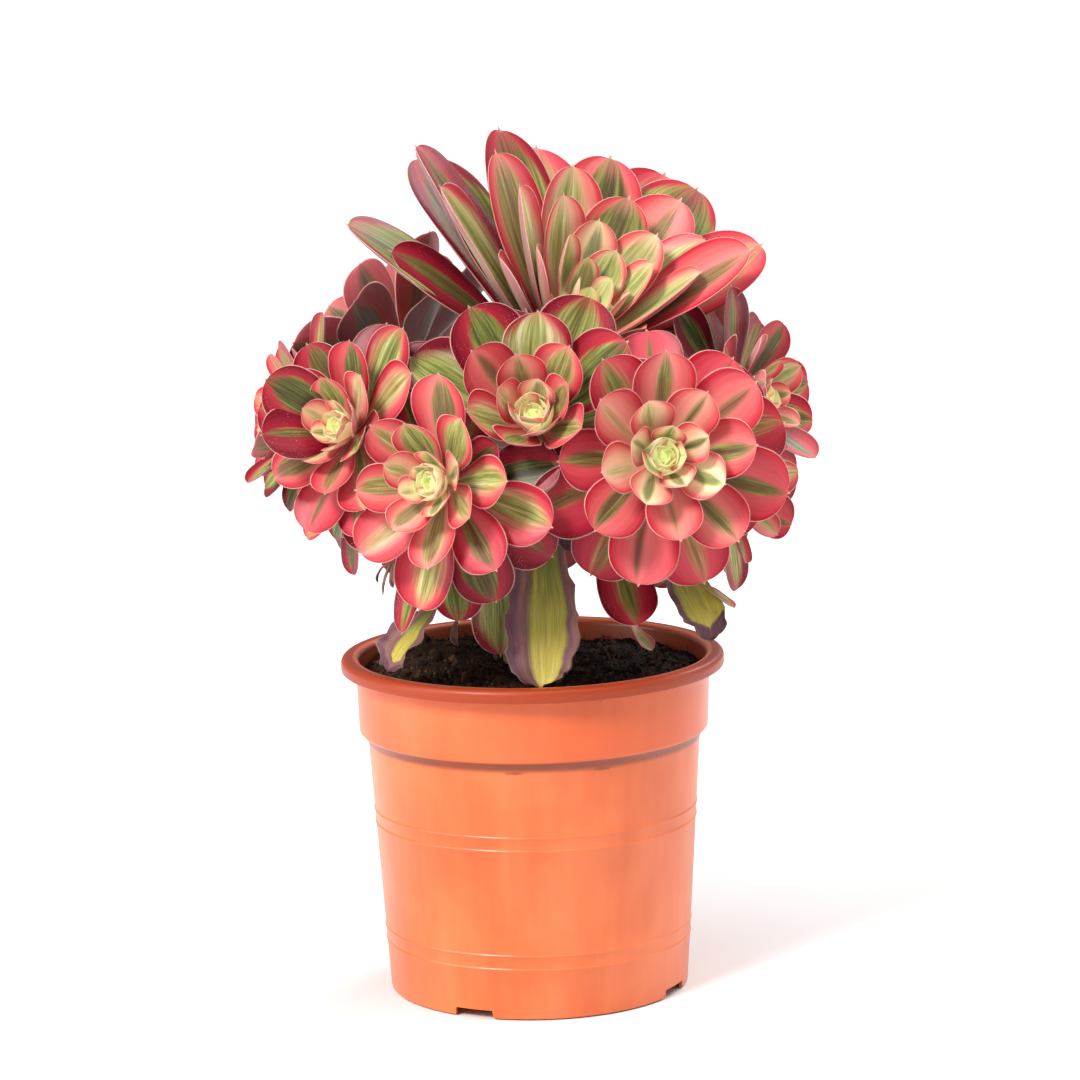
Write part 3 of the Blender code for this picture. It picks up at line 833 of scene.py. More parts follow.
# %% Leaf colours
MARGINS = [
    (0.00, srgb(238, 246, 196)),
    (0.13, srgb(248, 226, 184)),
    (0.26, srgb(242, 164, 148)),
    (0.37, srgb(226, 78, 96)),
    (0.50, srgb(208, 16, 58)),
    (0.74, srgb(172, 0, 38)),
    (1.00, srgb(108, 0, 26)),
]
CENTRES = [
    (0.00, srgb(190, 214, 110)),
    (0.26, srgb(236, 240, 178)),
    (0.40, srgb(248, 232, 184)),
    (0.56, srgb(242, 188, 164)),
    (0.78, srgb(230, 130, 132)),
    (1.00, srgb(190, 78, 92)),
]
GREENS = [
    (0.00, srgb(40, 52, 28)),
    (0.28, srgb(80, 96, 46)),
    (0.52, srgb(126, 142, 66)),
    (0.76, srgb(178, 186, 112)),
    (1.00, srgb(226, 224, 180)),
]


def new_finish(name, constants):
    """A material with a bench for its tree and its Principled shader, with constants set."""
    material = bpy.data.materials.new(name)
    material.use_nodes = True
    bench = Bench(material.node_tree)
    shader = material.node_tree.nodes["Principled BSDF"]
    for label, value in constants.items():
        shader.inputs[label].default_value = value
    return material, bench, shader


def feed(bench, shader, label, value):
    bench.tree.links.new(value.socket, shader.inputs[label])


def read(bench, name, out=1):
    """A stored value, read inside a material."""
    return bench.node("ShaderNodeAttribute", {"attribute_name": name}, out=out)


def bumped(bench, height, strength, distance):
    inputs = {"Height": height, "Strength": strength, "Distance": distance}
    return bench.node("ShaderNodeBump", None, inputs)


def leaf_finish():
    constants = {
        "Coat Weight": 0.14, "Coat Roughness": 0.25, "Specular IOR Level": 0.14,
        "Subsurface Weight": 0.10, "Subsurface Scale": 0.003,
        "Subsurface Radius": (1.0, 0.35, 0.15), "Emission Strength": 1.0,
    }
    material, bench, shader = new_finish("variegated_leaf_finish", constants)
    across, along, face = parts(bench, read(bench, "leaf_place"))
    age, stripe, tone = parts(bench, read(bench, "leaf_look"))
    _, _, seed = parts(bench, read(bench, "leaf_habit"))
    edge = read(bench, "leaf_edge", out=2)
    side = bench.maths("ABSOLUTE", across)
    under = 1 - bench.step(face, -0.2, 0.1)

    # streaks run along the leaf, so they are long in that direction and narrow across
    grain = bench.noise(triple(bench, across * 7, along * 1.5, seed * 60), 1.0, 4.0, 0.65)
    fine = bench.noise(triple(bench, across * 26, along * 3, seed * 60), 1.0, 3.0, 0.6)
    blotch = bench.noise(triple(bench, across * 1.6, along * 1.8, seed * 90), 1.0, 2.0, 0.5)

    # the margin goes from cream by way of salmon to crimson as the leaf grows old
    grown = bench.maths("MAXIMUM", age, 0) ** 0.6 * 0.72 + bench.maths("MINIMUM", age, 0) * 0.6
    ripe = grown + along * 0.08 + side**3 * 0.26 + (blotch - 0.5) * 0.24 - 0.02
    ripe = ripe + (tone - 0.5) * 0.44 * bench.step(age, -0.05, 0.5) + (fine - 0.5) * 0.06
    margin = bench.ramp(ripe, MARGINS)
    # the middle is paler, most of all near the foot of a young leaf
    centre = bench.ramp((age + 0.3) / 1.3 + (tone - 0.5) * 0.3, CENTRES)
    pale = (1 - side**1.5) * (1 - along * 0.40) * (1.15 - tone * 0.8)
    pale = pale * (1 - bench.step(age, 0.05, 0.9) * 0.40)
    flesh = bench.mix(pale + (grain - 0.5) * 0.25, margin, centre)

    # the green: a patch near the tip of a young leaf, and a whole band on an old one
    aside = bench.maths("ABSOLUTE", across - (seed - 0.5) * 0.30)
    patch_start = 0.34 - bench.step(age, 0.10, 0.75) * 0.70 + (seed - 0.5) * 0.30
    widening = bench.step(along, patch_start, patch_start + 0.42)
    closing = 1 - bench.step(along, 0.70, 1.0) * 0.45
    bold = bench.step(bench.noise(triple(bench, seed * 700, 0, 0), 1.0, 0.0, 0.5), 0.35, 0.60)
    band = stripe * (0.55 + bold * 0.60) * widening * closing + (grain - 0.5) * 0.30
    soft = 0.10 + bench.step(seed, 0.2, 1.0) * 0.20
    fading = bench.step(along + (grain - 0.5) * 0.6, patch_start, patch_start + 0.34)
    ending = 1 - bench.step(along + (fine - 0.5) * 0.2, 0.86, 1.0) * (0.9 - bold * 0.5)
    green_mask = (1 - bench.step(aside, band - soft, band + soft)) * fading * ending
    green_value = 0.56 + (grain - 0.5) * 1.3 + (fine - 0.5) * 0.8 + (seed - 0.5) * 0.50
    green = bench.ramp(green_value + aside * 0.40 - age * 0.30, GREENS)
    present = bench.step(age, -0.08, 0.16) * (0.74 + bold * 0.20)
    tinted = bench.mix(green_mask * present, flesh, green)

    tinted = bench.mix(under * (0.18 + seed * 0.42), tinted, colour(186, 158, 160))
    rim = 1 - bench.step(edge, 0.10, 0.50)
    tinted = bench.mix(rim * 0.72, tinted, colour(248, 196, 180))

    # old dark leaves are dusted with pale specks
    spot = bench.node("ShaderNodeTexCoord", out=3)
    dots = bench.node("ShaderNodeTexVoronoi", {"feature": "F1"}, {"Vector": spot, "Scale": 1300.0})
    dusty = bench.step(bench.noise(spot, 120, 2.0, 0.6), 0.52, 0.62) * bench.step(ripe, 0.6, 0.9)
    dust = (1 - bench.step(dots, 0.10, 0.22)) * dusty
    tinted = bench.mix(dust * 0.5, tinted, colour(248, 206, 204))
    feed(bench, shader, "Base Color", tinted)

    # painted light: the heart leaves get a lime emission, so they glow though they are no lamp
    # and stay bright in the shade of the leaves round them
    painted_glow = 1 - bench.step(age, -0.22, 0.14)
    painted_heart_light = bench.mix(painted_glow * 0.42, (0, 0, 0, 1), colour(226, 244, 176))
    feed(bench, shader, "Emission Color", painted_heart_light)

    feed(bench, shader, "Roughness", 0.34 + fine * 0.16 + under * 0.10)
    height = fine * 0.6 + grain * 0.8
    feed(bench, shader, "Normal", bumped(bench, height, 0.35, 0.0006))
    return material


variegated_leaf = leaf_finish()
print("leaf finish nodes:", len(variegated_leaf.node_tree.nodes))

# %% [markdown]
# ## Growing the rosettes
#
# No two leaves are alike, so each one gets a small twist, a lean to one side, a slight wave in its
# edge and its own width of stripe. The old leaves are darker than the young ones, and those that
# face left, where the sun came from, are the darkest. The seed is the rosette's own name, so a
# rerun is the same.

# %% Grow the rosettes
Habit = namedtuple("Habit", "twist sweep wave seed")
HAIR_SPACING = 0.9 * MM
ROSETTE_HAIR = 0.55 * MM


def habits_and_looks(rosette, leaves):
    chance = random.Random(rosette.name)
    habits, looks = [], []
    for leaf in leaves:
        grown = max(0.0, leaf.age)
        habits.append(
            Habit(
                twist=chance.uniform(-0.25, 0.25) * grown,
                sweep=chance.uniform(-0.06, 0.06) * grown,
                wave=chance.uniform(0.01, 0.05) * grown,
                seed=chance.random(),
            )
        )
        stripe = rosette.stripe * chance.uniform(0.55, 1.45)
        in_sun = 0.35 * max(0, -leaf.out.x) * grown
        tone = rosette.tone + 0.40 * (grown - 0.5) + in_sun + chance.uniform(-0.25, 0.25)
        looks.append((leaf.age, stripe, tone))
    return habits, looks


def grow_rosette(rosette):
    leaves = leaves_of(rosette)
    habits, looks = habits_and_looks(rosette, leaves)
    name = rosette.name + "_leaves"
    obj = new_object(name, leaf_point_mesh(name, leaves, looks, habits))
    values = {
        "Thickness": 0.9 * LEAF_THICKNESS,
        "Hair spacing": HAIR_SPACING,
        "Hair length": ROSETTE_HAIR,
        "Material": variegated_leaf,
    }
    run_tree(obj, leaf_tree, values)
    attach(obj, "root")
    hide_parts("rosette_" + rosette.name)
    print(name, "leaves:", len(leaves), "faces:", len(obj.data.polygons))


for rosette in ROSETTES:
    grow_rosette(rosette)

# %% [markdown]
# ## The hanging leaves and the withered ones
#
# Below the crown hang four live leaves and three dying ones. They grow from the same tree. A dying
# leaf keeps its middle the longest, so it is olive and yellow there, while its edges are already
# papery, mauve and brown. Crumpling comes last, as a smooth push to and fro
# that is strongest at the edges.

# %% Hanging leaves
Hanging = namedtuple("Hanging", "name at facing length half_width tilt curl cup age stripe tone")
HANGING_HAIR = 0.5 * MM
WITHERED_CRUMPLE = 3.2 * MM  # how far the edge of a dying leaf is pushed
DRY_CRUMPLE = 1.2 * MM
CRUMPLE_GRAIN = 9 * MM
HANGING_LEAVES = [
    # name, foot (mm), facing (deg), length and half width (mm), tilt, curl, cup, age, stripe, tone
    Hanging("withered_leaf_front", (6, -40, 232), -8, 88, 16.5, -80, 8, 0.12, 0.9, 0.50, 0.1),
    Hanging("withered_leaf_right", (54, -24, 202), 50, 50, 13, -52, -20, 0.20, 0.9, 0.80, 0.70),
    Hanging("withered_leaf_left", (-36, -22, 180), -58, 44, 11, -40, -24, 0.30, 0.9, 0.42, 0.6),
    Hanging("hanging_leaf_left", (-14, -31, 208), -10, 52, 12, -84, 8, 0.20, 0.9, 0.85, 0.7),
    Hanging("hanging_leaf_right", (34, -26, 216), 24, 52, 13, -66, 22, 0.25, 0.9, 0.30, 0.6),
    Hanging("drooping_leaf_front", (-33, -56, 226), -4, 50, 11.5, -86, 10, 0.25, 0.8, 0.60, 0.7),
    Hanging("drooping_leaf_left", (-37, -52, 226), -58, 58, 9, -68, -8, 0.25, 0.8, 0.40, 0.8),
]


def hanging_leaf(spec):
    facing = math.radians(spec.facing)
    return Leaf(
        base=Vector(spec.at) * MM,
        out=Vector((math.sin(facing), -math.cos(facing), 0)),
        up=Vector((0, 0, 1)),
        length=spec.length * MM,
        half_width=spec.half_width * MM,
        tilt=spec.tilt,
        curl=spec.curl,
        cup=spec.cup,
        age=spec.age,
    )


def withered_finish():
    constants = {"Coat Weight": 0.05, "Coat Roughness": 0.5}
    material, bench, shader = new_finish("withered_leaf_finish", constants)
    across, along, face = parts(bench, read(bench, "leaf_place"))
    _, stripe, dryness = parts(bench, read(bench, "leaf_look"))
    _, _, seed = parts(bench, read(bench, "leaf_habit"))
    edge = read(bench, "leaf_edge", out=2)
    side = bench.maths("ABSOLUTE", across - 0.16)
    grain = bench.noise(triple(bench, across * 6, along * 1.6, seed * 70), 1.0, 5.0, 0.65)
    fine = bench.noise(triple(bench, across * 30, along * 5, seed * 70), 1.0, 4.0, 0.6)
    spots = bench.noise(triple(bench, across * 4, along * 6, seed * 20), 2.0, 3.0, 0.7)

    # tone says how far the drying has crept up from the tip
    dry_tip = bench.step(along, 1.12 - dryness * 0.5, 1.22 - dryness * 0.4) * 0.9
    reach = side + (grain - 0.5) * 0.36 + dry_tip
    alive = 1 - bench.step(reach, stripe - 0.09, stripe + 0.12)
    ripeness = along * 0.80 + (fine - 0.5) * 0.60 + (grain - 0.5) * 0.7 - 0.04
    middle = bench.ramp(ripeness, [
        (0.00, srgb(84, 84, 32)), (0.30, srgb(128, 126, 46)), (0.55, srgb(184, 168, 62)),
        (0.80, srgb(218, 198, 98)), (1.00, srgb(232, 218, 146)),
    ])
    papery = bench.ramp(spots * 0.7 + fine * 0.6 - 0.14, [
        (0.00, srgb(38, 16, 26)), (0.32, srgb(76, 38, 52)), (0.62, srgb(116, 70, 80)),
        (1.00, srgb(184, 138, 128)),
    ])
    border = bench.step(reach, stripe, stripe + 0.30) * (1 - bench.step(reach, 0.75, 1.0))
    papery = bench.mix(border * 0.35, papery, colour(182, 128, 104))
    tinted = bench.mix(alive, papery, middle)
    brown = bench.step(spots, 0.62, 0.72) * 0.45
    tinted = bench.mix(brown, tinted, colour(92, 58, 34))
    dry_rim = 1 - bench.step(edge, 0.1, 0.7)
    tinted = bench.mix(dry_rim * 0.5, tinted, colour(200, 160, 132))
    feed(bench, shader, "Base Color", tinted)
    feed(bench, shader, "Roughness", 0.50 + fine * 0.22)
    height = fine * 1.0 + grain * 1.2
    feed(bench, shader, "Normal", bumped(bench, height, 0.7, 0.0008))
    return material


def crumple(obj, amount, grain):
    """Pushes a piece's points to and fro along one smooth noise, more at its edges."""
    mesh = obj.data
    edges = mesh.attributes["leaf_place"].data
    moved = []
    for vertex, place in zip(mesh.vertices, edges):
        across, along, _ = place.vector
        share = (0.15 + 0.85 * across * across) * min(1, 0.2 + along)
        push = noise.noise_vector(vertex.co / grain) * amount * share
        push += noise.noise_vector(vertex.co / (0.35 * grain)) * amount * share * 0.35
        moved.append(vertex.co + push)
    mesh.vertices.foreach_set("co", [part for point in moved for part in point])
    mesh.update()


def grow_hanging(spec, finish, crumpling, stands_for):
    chance = random.Random(spec.name)
    habit = Habit(chance.uniform(-0.3, 0.3), chance.uniform(-0.05, 0.05), 0.06, chance.random())
    look = (spec.age, spec.stripe, spec.tone)
    name = spec.name + "_blade"
    obj = new_object(name, leaf_point_mesh(name, [hanging_leaf(spec)], [look], [habit]))
    values = {
        "Thickness": 0.034 if crumpling else 0.05,
        "Hair spacing": HAIR_SPACING,
        "Hair length": HANGING_HAIR,
        "Material": finish,
    }
    run_tree(obj, leaf_tree, values)
    if crumpling:
        crumple(obj, crumpling, CRUMPLE_GRAIN)
    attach(obj, "root")
    if stands_for:
        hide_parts(stands_for)


withered_leaf = withered_finish()
for spec in HANGING_LEAVES:
    if spec.name.startswith("withered"):
        grow_hanging(spec, withered_leaf, WITHERED_CRUMPLE, spec.name)
    else:
        grow_hanging(spec, variegated_leaf, 0, spec.name)
print("hanging leaves:", len(HANGING_LEAVES))

# %% [markdown]
# ## Small dry bits and young tips
#
# A few small pieces hang between the crown and the soil: curled brown strands that were leaves, a
# mauve leaf whose tip has rolled up, and some green tips near the soil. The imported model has
# nothing for them, because they are too slight to matter to it.

# %% Small pieces
SMALL_PIECES = [
    # the same fields; the ones that are dry take the withered finish
    Hanging("dry_strand_long", (-56, -47, 203), -70, 19, 1.5, -58, -50, 0.5, 0.9, 0.0, 0.9),
    Hanging("dry_strand_short", (-58, -50, 202), -30, 13, 1.3, -76, -60, 0.5, 0.9, 0.0, 0.9),
    Hanging("dry_strand_hooked", (-60, -46, 199), -110, 12, 1.2, -44, -90, 0.5, 0.9, 0.0, 0.9),
    Hanging("dry_mauve_leaf", (22, -44, 239), 4, 37, 12.5, -80, 10, 0.35, 0.9, 0.10, 0.9),
    Hanging("dry_curled_tip", (-31, -27, 172), -40, 14, 2.6, -70, -70, 0.5, 0.9, 0.0, 0.9),
    Hanging("dry_thread", (-10, -14, 182), -60, 26, 0.5, -48, 30, 0.1, 0.9, 0.0, 0.6),
    Hanging("green_soil_leaf", (42, -17, 168), 60, 19, 4.8, -52, 30, 0.30, 0.3, 0.75, 0.30),
    Hanging("green_tip_leaf", (72, -26, 186), 62, 22, 4.6, -34, 10, 0.30, 0.5, 0.60, 0.40),
    Hanging("green_shoot_leaf", (-4, -12, 176), -30, 24, 5.0, -66, 12, 0.30, 0.4, 0.80, 0.35),
]

for spec in SMALL_PIECES:
    if spec.name.startswith("dry"):
        grow_hanging(spec, withered_leaf, DRY_CRUMPLE, stands_for=None)
    else:
        grow_hanging(spec, variegated_leaf, 0, stands_for=None)
print("small pieces:", len(SMALL_PIECES))

# %% [markdown]
# ## Stems
#
# The trunk and the branches are woody, with a crescent scar wherever a leaf once sat. Each one is
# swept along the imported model's own line, with rings close enough to carry the scars as real
# bumps. The last stretch, behind each rosette, is still green and red.

# %% The lines of the stems
STEM_GAP = 1.0 * MM
TRUNK = ((-3, 17, 112), (-5, 16, 150), (-2, 14, 190), (1, 12, 230))
TRUNK_RADIUS = 8.5 * MM
TRUNK_TIP_RADIUS = 5.6 * MM
BRANCH_TIP_RADIUS = 3.6 * MM


def stalk_foot(rosette):
    return Vector(rosette.at) * MM - axis_of(rosette) * (stalk_length(rosette) + STEM_GAP)


def smooth_line(points, count):
    """Catmull-Rom points through the given ones, evenly in parameter."""
    padded = [2 * points[0] - points[1], *points, 2 * points[-1] - points[-2]]
    spans = len(points) - 1
    line = []
    for i in range(count + 1):
        at = min(i / count * spans, spans - 1e-9)
        k = int(at)
        t = at - k
        a, b, c, d = padded[k : k + 4]
        line.append(
            0.5 * (2 * b + (c - a) * t + (2 * a - 5 * b + 4 * c - d) * t * t
                   + (3 * b - a - 3 * c + d) * t**3)
        )
    return line


def trunk_line(count):
    top = next(rosette for rosette in ROSETTES if rosette.fork == 0)
    end = stalk_foot(top)
    points = [Vector(p) * MM for p in TRUNK] + [end - axis_of(top) * 16 * MM, end]
    return smooth_line(points, count)


def branch_line(rosette, count):
    start = min(trunk_line(16), key=lambda p: abs(p.z - rosette.fork * MM))
    end = stalk_foot(rosette)
    knee = end - axis_of(rosette) * 0.35 * (end - start).length
    line = []
    for i in range(count + 1):
        t = i / count
        line.append(start * (1 - t) ** 2 + knee * 2 * t * (1 - t) + end * t * t)
    return line


# %% Sweep a stem
STEM_AROUND = 20
SCAR_STEP = 3.4 * MM  # along the stem, from one leaf scar to the next


def scar_height(angle, distance, radius):
    """How far a leaf scar stands out at this place on the bark."""
    height = 0.0
    first = int(distance / SCAR_STEP) - 2
    for i in range(first, first + 5):
        turn = (angle - i * GOLDEN_ANGLE + math.pi) % (2 * math.pi) - math.pi
        around = turn * radius / (2.6 * MM)
        along = (distance - i * SCAR_STEP) / (1.1 * MM) + 0.5 * around * around
        height = max(height, math.exp(-(around**2) - along**2))
    return height


def sweep_stem(name, line, radius_foot, radius_tip, scar=0.7 * MM, rough=0.5 * MM):
    """A closed tube along a line, with leaf scars and uneven bark."""
    bm = bmesh.new()
    place = bm.verts.layers.float_vector.new("stem_place")
    rings, travelled = [], 0.0
    toward = Vector((1, 0, 0))
    for i, centre in enumerate(line):
        along = (line[min(i + 1, len(line) - 1)] - line[max(i - 1, 0)]).normalized()
        side = (toward - along * toward.dot(along)).normalized()
        toward = side
        over = along.cross(side)
        if i:
            travelled += (centre - line[i - 1]).length
        share = i / (len(line) - 1)
        radius = radius_foot + share * (radius_tip - radius_foot)
        ring = []
        for k in range(STEM_AROUND):
            angle = k / STEM_AROUND * 2 * math.pi
            way = side * math.cos(angle) + over * math.sin(angle)
            lump = noise.noise((centre + way * radius) / (5 * MM)) * rough
            out = radius + scar * scar_height(angle, travelled, radius) + lump
            vertex = bm.verts.new(centre + way * out)
            vertex[place] = (angle / math.pi, travelled / MM, out / radius)
            ring.append(vertex)
        rings.append(ring)
    for lower, upper in zip(rings, rings[1:]):
        for k in range(STEM_AROUND):
            after = (k + 1) % STEM_AROUND
            bm.faces.new((lower[k], lower[after], upper[after], upper[k]))
    bm.faces.new(reversed(rings[0]))
    bm.faces.new(rings[-1])
    mesh = bpy.data.meshes.new(name)
    bmesh.ops.recalc_face_normals(bm, faces=bm.faces)
    bm.to_mesh(mesh)
    bm.free()
    mesh.shade_smooth()
    return new_object(name, mesh)


def bark_finish():
    material, bench, shader = new_finish("stem_bark_finish", {"Coat Weight": 0.0})
    spot = bench.node("ShaderNodeTexCoord", out=3)
    _, travelled, stand = parts(bench, read(bench, "stem_place"))
    large = bench.noise(spot, 90, 4.0, 0.6)
    fine = bench.noise(spot, 420, 4.0, 0.65)
    lines = bench.noise(triple(bench, travelled * 0.9, large * 2, 0), 1.0, 2.0, 0.5)
    tinted = bench.ramp(large * 0.5 + fine * 0.35 + lines * 0.25, [
        (0.25, srgb(52, 38, 24)), (0.45, srgb(98, 78, 48)), (0.62, srgb(136, 116, 76)),
        (0.85, srgb(182, 160, 118)),
    ])
    scar = bench.step(stand, 1.03, 1.12)
    tinted = bench.mix(scar * 0.65, tinted, colour(190, 168, 128))
    feed(bench, shader, "Base Color", tinted)
    feed(bench, shader, "Roughness", 0.62 + fine * 0.25)
    feed(bench, shader, "Normal", bumped(bench, fine * 0.7 + large, 0.7, 0.0010))
    return material


def green_stalk_finish():
    constants = {"Coat Weight": 0.1, "Coat Roughness": 0.4}
    material, bench, shader = new_finish("green_stalk_finish", constants)
    spot = bench.node("ShaderNodeTexCoord", out=3)
    blotch = bench.noise(spot, 160, 3.0, 0.6)
    streak = bench.noise(spot, 500, 3.0, 0.6)
    tinted = bench.ramp(blotch * 0.8 + streak * 0.3 - 0.05, [
        (0.25, srgb(120, 40, 46)), (0.45, srgb(122, 110, 52)), (0.62, srgb(150, 156, 78)),
        (0.90, srgb(206, 200, 140)),
    ])
    feed(bench, shader, "Base Color", tinted)
    feed(bench, shader, "Roughness", 0.45 + streak * 0.2)
    feed(bench, shader, "Normal", bumped(bench, streak, 0.4, 0.0006))
    return material


def add_stem(obj, finish, node):
    obj.data.materials.append(finish)
    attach(obj, "root")
    if node:
        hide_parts(node)


stem_bark = bark_finish()
green_stalk = green_stalk_finish()
TRUNK_RINGS = 130
BRANCH_RINGS = 64
trunk = sweep_stem("woody_trunk", trunk_line(TRUNK_RINGS), TRUNK_RADIUS, TRUNK_TIP_RADIUS)
add_stem(trunk, stem_bark, "trunk")
for rosette in ROSETTES:
    if rosette.fork:
        line = branch_line(rosette, BRANCH_RINGS)
        branch = sweep_stem(
            "woody_branch_" + rosette.name, line, BRANCH_RADIUS, BRANCH_TIP_RADIUS,
            0.45 * MM, 0.3 * MM,
        )
        add_stem(branch, stem_bark, "branch_" + rosette.name)
    axis = axis_of(rosette)
    heart = Vector(rosette.at) * MM
    foot = heart - axis * (stalk_length(rosette) + STEM_GAP)
    line = [foot.lerp(heart, i / 20) for i in range(21)]
    wide = BRANCH_TIP_RADIUS if rosette.fork else TRUNK_TIP_RADIUS
    stalk = sweep_stem("leafy_stalk_" + rosette.name, line, wide, 0.6 * wide, 0.2 * MM, 0.2 * MM)
    add_stem(stalk, green_stalk, None)
print("stems swept")

# %% [markdown]
# ## The pot
#
# A moulded nursery pot is turned: one profile, swept round the axis. The profile has arcs where
# the plastic rolls over: a hooked lip, a collar, a step under the collar, and two pairs of fine
# raised lines round the body. The notches in the foot and the drain holes are then cut out.

# %% Turn the pot
RIM_RADIUS = 85 * MM
FOOT_RADIUS = 66.5 * MM
WALL = 1.5 * MM
LIP_DROP = 6 * MM
COLLAR_TOP_RADIUS = 78.3 * MM
COLLAR_FOOT_RADIUS = 77.6 * MM
COLLAR_FOOT_Z = 116.5 * MM
BODY_TOP_RADIUS = 73.8 * MM
BODY_TOP_Z = 112.5 * MM
FLOOR_Z = 4.5 * MM
RAISED_LINES = (22.4 * MM, 28.6 * MM, 76.0 * MM, 82.0 * MM)
LINE_HEIGHT = 0.38 * MM
NOTCHES = 4
NOTCH_FIRST = math.radians(-26)
NOTCH_WIDTH = 17.5 * MM
NOTCH_HEIGHT = 3.6 * MM
NOTCH_FLARE = 1.12
DRAIN_HOLES = 8
DRAIN_RADIUS = 5 * MM
DRAIN_CIRCLE = 50 * MM
POT_STEPS = 192


def wall_radius(z):
    return FOOT_RADIUS + (BODY_TOP_RADIUS - FOOT_RADIUS) * z / BODY_TOP_Z


def arc(centre, radius, first, last, count=5):
    """Points on an arc in the (radius, z) plane, from one angle to another in degrees."""
    points = []
    for i in range(count + 1):
        angle = math.radians(first + (last - first) * i / count)
        points.append(
            (centre[0] + radius * math.cos(angle), centre[1] + radius * math.sin(angle))
        )
    return points


def raised_line(z):
    """A half-round line that stands out of the pot's wall, from above to below."""
    points = []
    for i in range(7):
        share = i / 6
        height = LINE_HEIGHT * math.sin(math.pi * share)
        level = z + (0.5 - share) * 1.5 * MM
        points.append((wall_radius(level) + height, level))
    return points


def pot_profile():
    inner_foot = wall_radius(FLOOR_Z + WALL) - WALL
    points = [(0, FLOOR_Z + WALL)]
    points += arc((inner_foot - 2 * MM, FLOOR_Z + WALL + 2 * MM), 2 * MM, -90, 0)
    points += [
        (BODY_TOP_RADIUS - WALL, BODY_TOP_Z),
        (COLLAR_FOOT_RADIUS - WALL, COLLAR_FOOT_Z),
        (COLLAR_TOP_RADIUS - WALL, POT_HEIGHT - 2.5 * MM),
    ]
    points += arc((COLLAR_TOP_RADIUS + 1.0 * MM, POT_HEIGHT - 2.5 * MM), 2.5 * MM, 180, 90)
    points += arc((RIM_RADIUS - 2.6 * MM, POT_HEIGHT - 2.6 * MM), 2.6 * MM, 90, 0, 8)
    points += arc((RIM_RADIUS - 0.8 * MM, POT_HEIGHT - LIP_DROP + 0.8 * MM), 0.8 * MM, 0, -180)
    points += arc((RIM_RADIUS - 3.0 * MM, POT_HEIGHT - 3.4 * MM), 1.4 * MM, 0, 90)
    points += arc((COLLAR_TOP_RADIUS + 1.2 * MM, POT_HEIGHT - 3.2 * MM), 1.2 * MM, 90, 180)
    points += [(COLLAR_TOP_RADIUS - 0.1 * MM, POT_HEIGHT - 14 * MM)]
    points += arc((COLLAR_FOOT_RADIUS - 1.1 * MM, COLLAR_FOOT_Z + 1.1 * MM), 1.1 * MM, 0, -50)
    points += [(BODY_TOP_RADIUS + 0.5 * MM, BODY_TOP_Z + 0.8 * MM)]
    points += [(wall_radius(BODY_TOP_Z - 1.2 * MM), BODY_TOP_Z - 1.2 * MM)]
    for z in reversed(RAISED_LINES):
        points += raised_line(z)
    points += arc((FOOT_RADIUS - 0.6 * MM, 0.6 * MM), 0.6 * MM, 0, -90, 3)
    points += [(FOOT_RADIUS - WALL, 0), (wall_radius(FLOOR_Z) - WALL, FLOOR_Z), (0, FLOOR_Z)]
    return points


def turned(name, profile, steps):
    """A profile of (radius, z) points swept round the Z axis into a closed mesh."""
    mesh = bpy.data.meshes.new(name)
    points = [(radius, 0, z) for radius, z in profile]
    mesh.from_pydata(points, [(i, i + 1) for i in range(len(points) - 1)], [])
    obj = new_object(name, mesh)
    turn = obj.modifiers.new("turn", "SCREW")
    turn.steps = steps
    turn.render_steps = steps
    turn.use_merge_vertices = True
    turn.merge_threshold = 0.00002
    keep_result(obj)
    bm = bmesh.new()
    bm.from_mesh(obj.data)
    bmesh.ops.remove_doubles(bm, verts=bm.verts, dist=0.00001)
    bmesh.ops.recalc_face_normals(bm, faces=bm.faces)
    if bm.calc_volume(signed=True) < 0:
        bmesh.ops.reverse_faces(bm, faces=bm.faces)
    bm.to_mesh(obj.data)
    bm.free()
    return obj


def cutter_from(name, bm, place):
    bmesh.ops.transform(bm, matrix=place, verts=bm.verts)
    mesh = bpy.data.meshes.new(name)
    bm.to_mesh(mesh)
    bm.free()
    return new_object(name, mesh)


def notch_cutter(angle):
    bm = bmesh.new()
    bmesh.ops.create_cube(bm, size=1)
    for vertex in bm.verts:
        flare = 1.0 if vertex.co.z > 0 else NOTCH_FLARE
        vertex.co.x *= NOTCH_WIDTH * flare
        vertex.co.y *= 5 * WALL
        vertex.co.z *= 2 * NOTCH_HEIGHT
    place = Matrix.Rotation(angle, 4, "Z") @ Matrix.Translation((0, -FOOT_RADIUS, 0))
    return cutter_from("notch_cutter", bm, place)


def drain_cutter(angle):
    bm = bmesh.new()
    bmesh.ops.create_cone(
        bm, cap_ends=True, segments=32, radius1=DRAIN_RADIUS, radius2=DRAIN_RADIUS, depth=8 * WALL
    )
    place = Matrix.Rotation(angle, 4, "Z") @ Matrix.Translation((0, -DRAIN_CIRCLE, FLOOR_Z))
    return cutter_from("drain_cutter", bm, place)


def cut_out(obj, cutters):
    for cutter in cutters:
        cut = obj.modifiers.new("cut", "BOOLEAN")
        cut.operation = "DIFFERENCE"
        cut.object = cutter
    keep_result(obj)
    for cutter in cutters:
        mesh = cutter.data
        bpy.data.objects.remove(cutter)
        bpy.data.meshes.remove(mesh)


def build_pot():
    pot = turned("moulded_pot", pot_profile(), POT_STEPS)
    turns = [NOTCH_FIRST + i * 2 * math.pi / NOTCHES for i in range(NOTCHES)]
    cutters = [notch_cutter(angle) for angle in turns]
    turns = [(i + 0.5) * 2 * math.pi / DRAIN_HOLES for i in range(DRAIN_HOLES)]
    cutters += [drain_cutter(angle) for angle in turns]
    cut_out(pot, cutters)
    pot.data.shade_smooth()
    pot.data.set_sharp_from_angle(angle=math.radians(38))
    return pot


